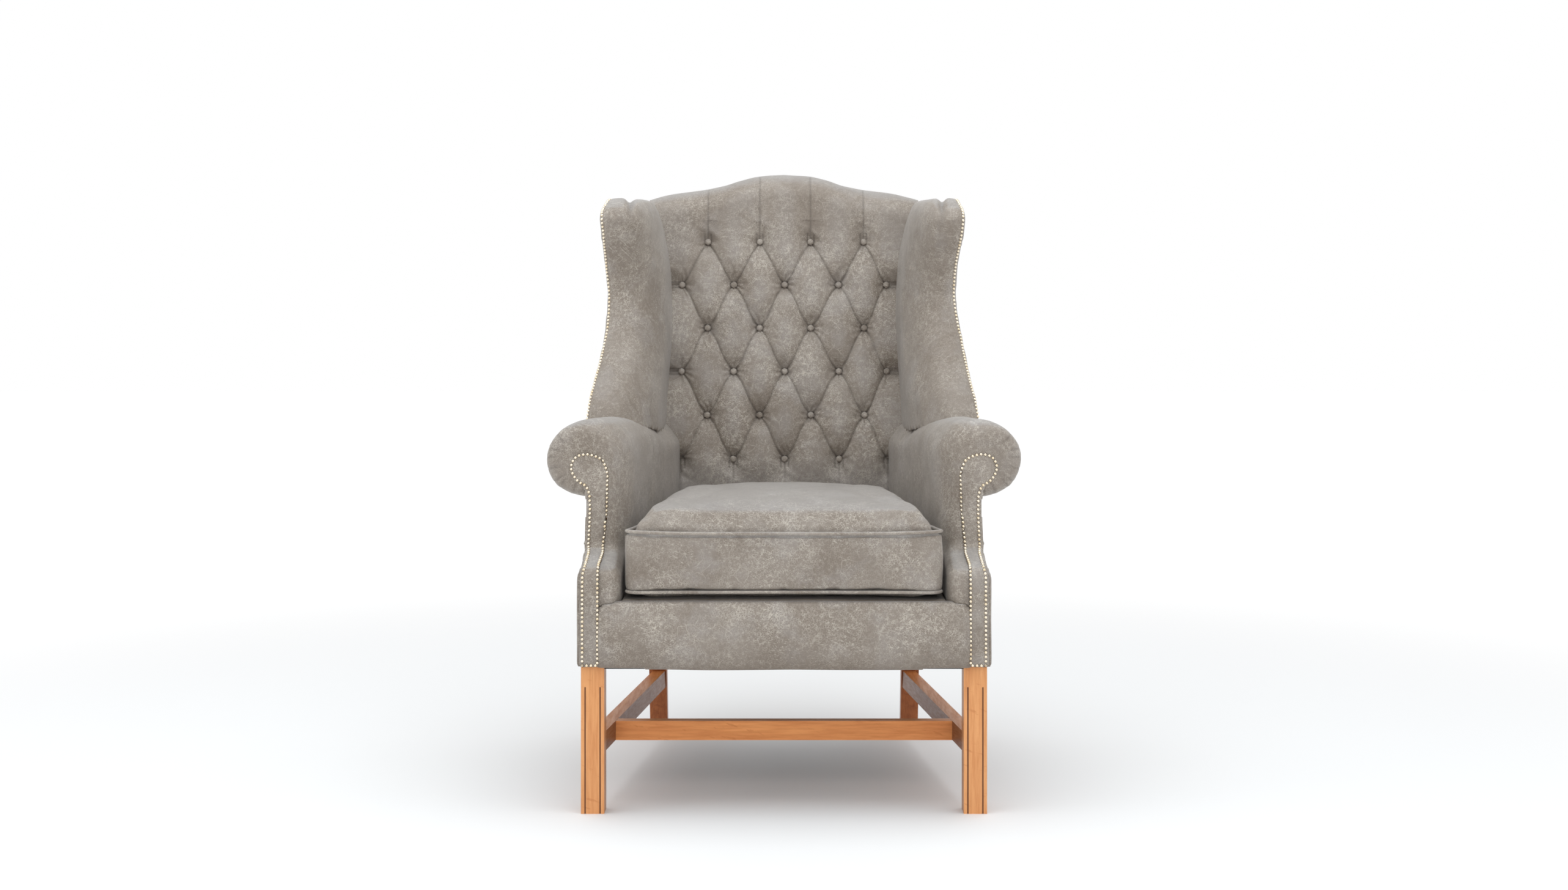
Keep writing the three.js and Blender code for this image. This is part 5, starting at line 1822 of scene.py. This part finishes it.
# Flat covers and the frame
@dataclass(frozen=True)
class FlatCover:
    """A flat leather cover over the frame, thin and only slightly full."""

    node: str
    name: str = ""
    voxel: float = 0.0045
    fullness: float = 0.0012
    growth: float = 0.0016
    lip: float = 0.0
    widening: float = 0.0
    bulge: float = 0.0
    finish: bpy.types.Material | None = None
    drawn: Callable[[np.ndarray], None] | None = None

    def build(self) -> None:
        """Makes the cover."""
        piece = copy_of(self.name or f"{self.node}_cover", self.node)
        softened(piece, self.voxel, 2)
        points = places(piece)
        points += normals(piece) * (self.growth + self.fullness * wavy(points, 0.09, 4.4))[:, None]
        # a padded lip rises over the edge of what lies behind
        points[:, 2] += self.lip * ramp(points[:, 2], points[:, 2].max() - 0.03, 0.03)
        ends = ramp(np.abs(points[:, 0]), 0.26, 0.04) * (points[:, 2] < 0.353)
        points[:, 0] += np.sign(points[:, 0]) * self.widening * ends
        # the stuffing stands it proud between its edges
        low, high = points.min(axis=0), points.max(axis=0)
        up = np.clip((points[:, 2] - low[2]) / (high[2] - low[2]), 0, 1)
        side = fall(np.abs(points[:, 0]), high[0], 0.03)
        outer = points[:, 1] < (low[1] + high[1]) / 2
        points[:, 1] -= self.bulge * np.sin(np.pi * up**0.85) * np.sqrt(side * (2 - side)) * outer
        if self.drawn:
            self.drawn(points)
        set_places(piece, points)
        # painted shade: darker towards the bottom edge, and darkest on the top of the lip, where the gap
        # under the cushion lies
        marked(piece, "shade", 0.8 * fall(points[:, 2], low[2] + 0.04, 0.035))
        marked(piece, "crease", 0.9 * (self.lip > 0) * ramp(points[:, 2], high[2] - 0.003, 0.003))
        settle(piece, self.finish or FINISH.leather, self.node, fill=0.5)


def dress_frame() -> None:
    """Finishes every node of the frame that nothing has replaced."""
    finishes = {
        "front_leg": FINISH.leg, "back_post": FINISH.shaded_back_leg, "side_stretcher": FINISH.side_rung,
        "cross_stretcher": FINISH.rung, "arm_post": FINISH.post, "wing_post": FINISH.post,
        "side_rail": FINISH.side_rail, "arm_rail": FINISH.side_rail, "wing_rail": FINISH.side_rail,
        "seat_spring": FINISH.steel, "back_strap": FINISH.jute, "dust_cover": FINISH.cambric,
    }
    for name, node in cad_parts.items():
        if not node.hide_render:
            finish = next((made for stem, made in finishes.items() if name.startswith(stem)), FINISH.rail)
            for slot in node.material_slots:
                slot.material = finish


# The studio
@dataclass(frozen=True)
class Studio:
    """A pale floor, soft light and the camera in front of the chair."""

    camera_at: tuple[float, float, float] = (0.0, -3.982237, 0.869)
    lens: float = 49.515
    sensor: float = 36.0
    lift: float = -0.0967
    room_light: float = 0.8
    floor_size: float = 30.0
    floor_grey: tuple = tone(240, 240, 240)
    floor_fade: tuple[float, float] = (1.1, 3.0)
    light_colour: tuple[float, float, float] = (0.9, 0.96, 1.0)
    lamps: tuple[tuple[str, tuple, tuple, float, float], ...] = (
        ("overhead", (0.0, -0.4, 3.0), (0, 0, 0.4), 2.6, 44),
        ("front", (0.6, -3.4, 1.9), (0, 0, 0.6), 2.2, 8),
        ("from_left", (-3.0, -0.9, 1.8), (0, 0, 0.6), 2.0, 12),
        ("from_right", (3.0, -0.9, 1.8), (0, 0, 0.6), 2.0, 7),
    )

    def build(self) -> None:
        """Sets up the camera, the floor and the lights."""
        camera = bpy.data.cameras.new("camera")
        camera.lens, camera.sensor_width, camera.shift_y = self.lens, self.sensor, self.lift
        held = linked("camera", camera)
        held.location, held.rotation_euler = self.camera_at, (math.pi / 2, 0, 0)
        bpy.context.scene.camera = held
        self.lay_floor()
        for lamp in self.lamps:
            self.hang(*lamp)
        self.paint_room()
        bpy.context.scene.view_settings.view_transform = "Standard"

    def lay_floor(self) -> None:
        """Lays the floor, which fades into the white of the room far from the chair."""
        clear_selection()
        bpy.ops.mesh.primitive_plane_add(size=self.floor_size)
        floor = bpy.context.object
        floor.name = "floor"
        r = Recipe("paper", 0.9)
        far = r.node("ShaderNodeVectorMath", operation="LENGTH")
        r.feed(far.inputs[0], r.place)
        fade = r.step(far.outputs["Value"], *self.floor_fade)
        r.fix(r.shader, {"Emission Color": (1, 1, 1, 1)})
        r.feed(r.shader.inputs["Emission Strength"], fade)
        floor.data.materials.append(r.wear(r.mixed(fade, self.floor_grey, (0, 0, 0, 1))))

    def paint_room(self) -> None:
        """Makes the room look white, while it gives a little less light than it looks."""
        world = bpy.data.worlds.new("white_room")
        world.use_nodes = True
        tree = world.node_tree
        background = tree.nodes["Background"]
        background.inputs["Color"].default_value = (1, 1, 1, 1)
        seen = tree.nodes.new("ShaderNodeLightPath").outputs["Is Camera Ray"]
        strength = tree.nodes.new("ShaderNodeMapRange")
        strength.inputs["To Min"].default_value = self.room_light
        strength.inputs["To Max"].default_value = 1.0
        tree.links.new(seen, strength.inputs["Value"])
        tree.links.new(strength.outputs["Result"], background.inputs["Strength"])
        bpy.context.scene.world = world

    def hang(self, name: str, at: tuple, towards: tuple, size: float, power: float) -> None:
        """Hangs a soft square light.

        Args:
            name: Its name.
            at: Its place.
            towards: Where it points.
            size: Its side.
            power: Its power in watts.
        """
        light = bpy.data.lights.new(name, "AREA")
        light.energy, light.size, light.color = power, size, self.light_colour
        lamp = linked(name, light)
        lamp.location = at
        lamp.rotation_euler = (Vector(towards) - Vector(at)).to_track_quat("-Z", "Y").to_euler()


def main() -> None:
    """Builds the chair in the order that an upholsterer would."""
    Studio().build()
    FlatCover("front_border", lip=0.003, widening=0.0045, bulge=0.013).build()
    FlatCover("outside_back_panel").build()
    for side in Side:
        FlatCover(f"outside_arm_panel_{side.word}").build()
    for side in Side:
        FlatCover(f"outside_wing_panel_{side.word}", drawn=Wing(side).flare_cover).build()
    FlatCover("seat_deck", "deck_cover", voxel=0.005, growth=0.0002, finish=FINISH.deck).build()
    TuftedBack().build()
    for side in Side:
        ScrollArm(side).build()
        Wing(side).build()
    SeatCushion().build()
    dress_frame()
    clear_selection()


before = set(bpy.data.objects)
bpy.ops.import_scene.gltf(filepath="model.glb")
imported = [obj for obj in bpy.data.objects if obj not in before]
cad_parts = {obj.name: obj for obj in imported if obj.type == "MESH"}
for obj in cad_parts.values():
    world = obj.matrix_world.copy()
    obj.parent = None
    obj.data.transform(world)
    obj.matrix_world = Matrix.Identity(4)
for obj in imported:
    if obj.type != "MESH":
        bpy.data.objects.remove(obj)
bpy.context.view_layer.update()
FINISH = Finishes()

if __name__ == "__main__":
    logging.basicConfig(level=logging.INFO, format="%(message)s")
    main()
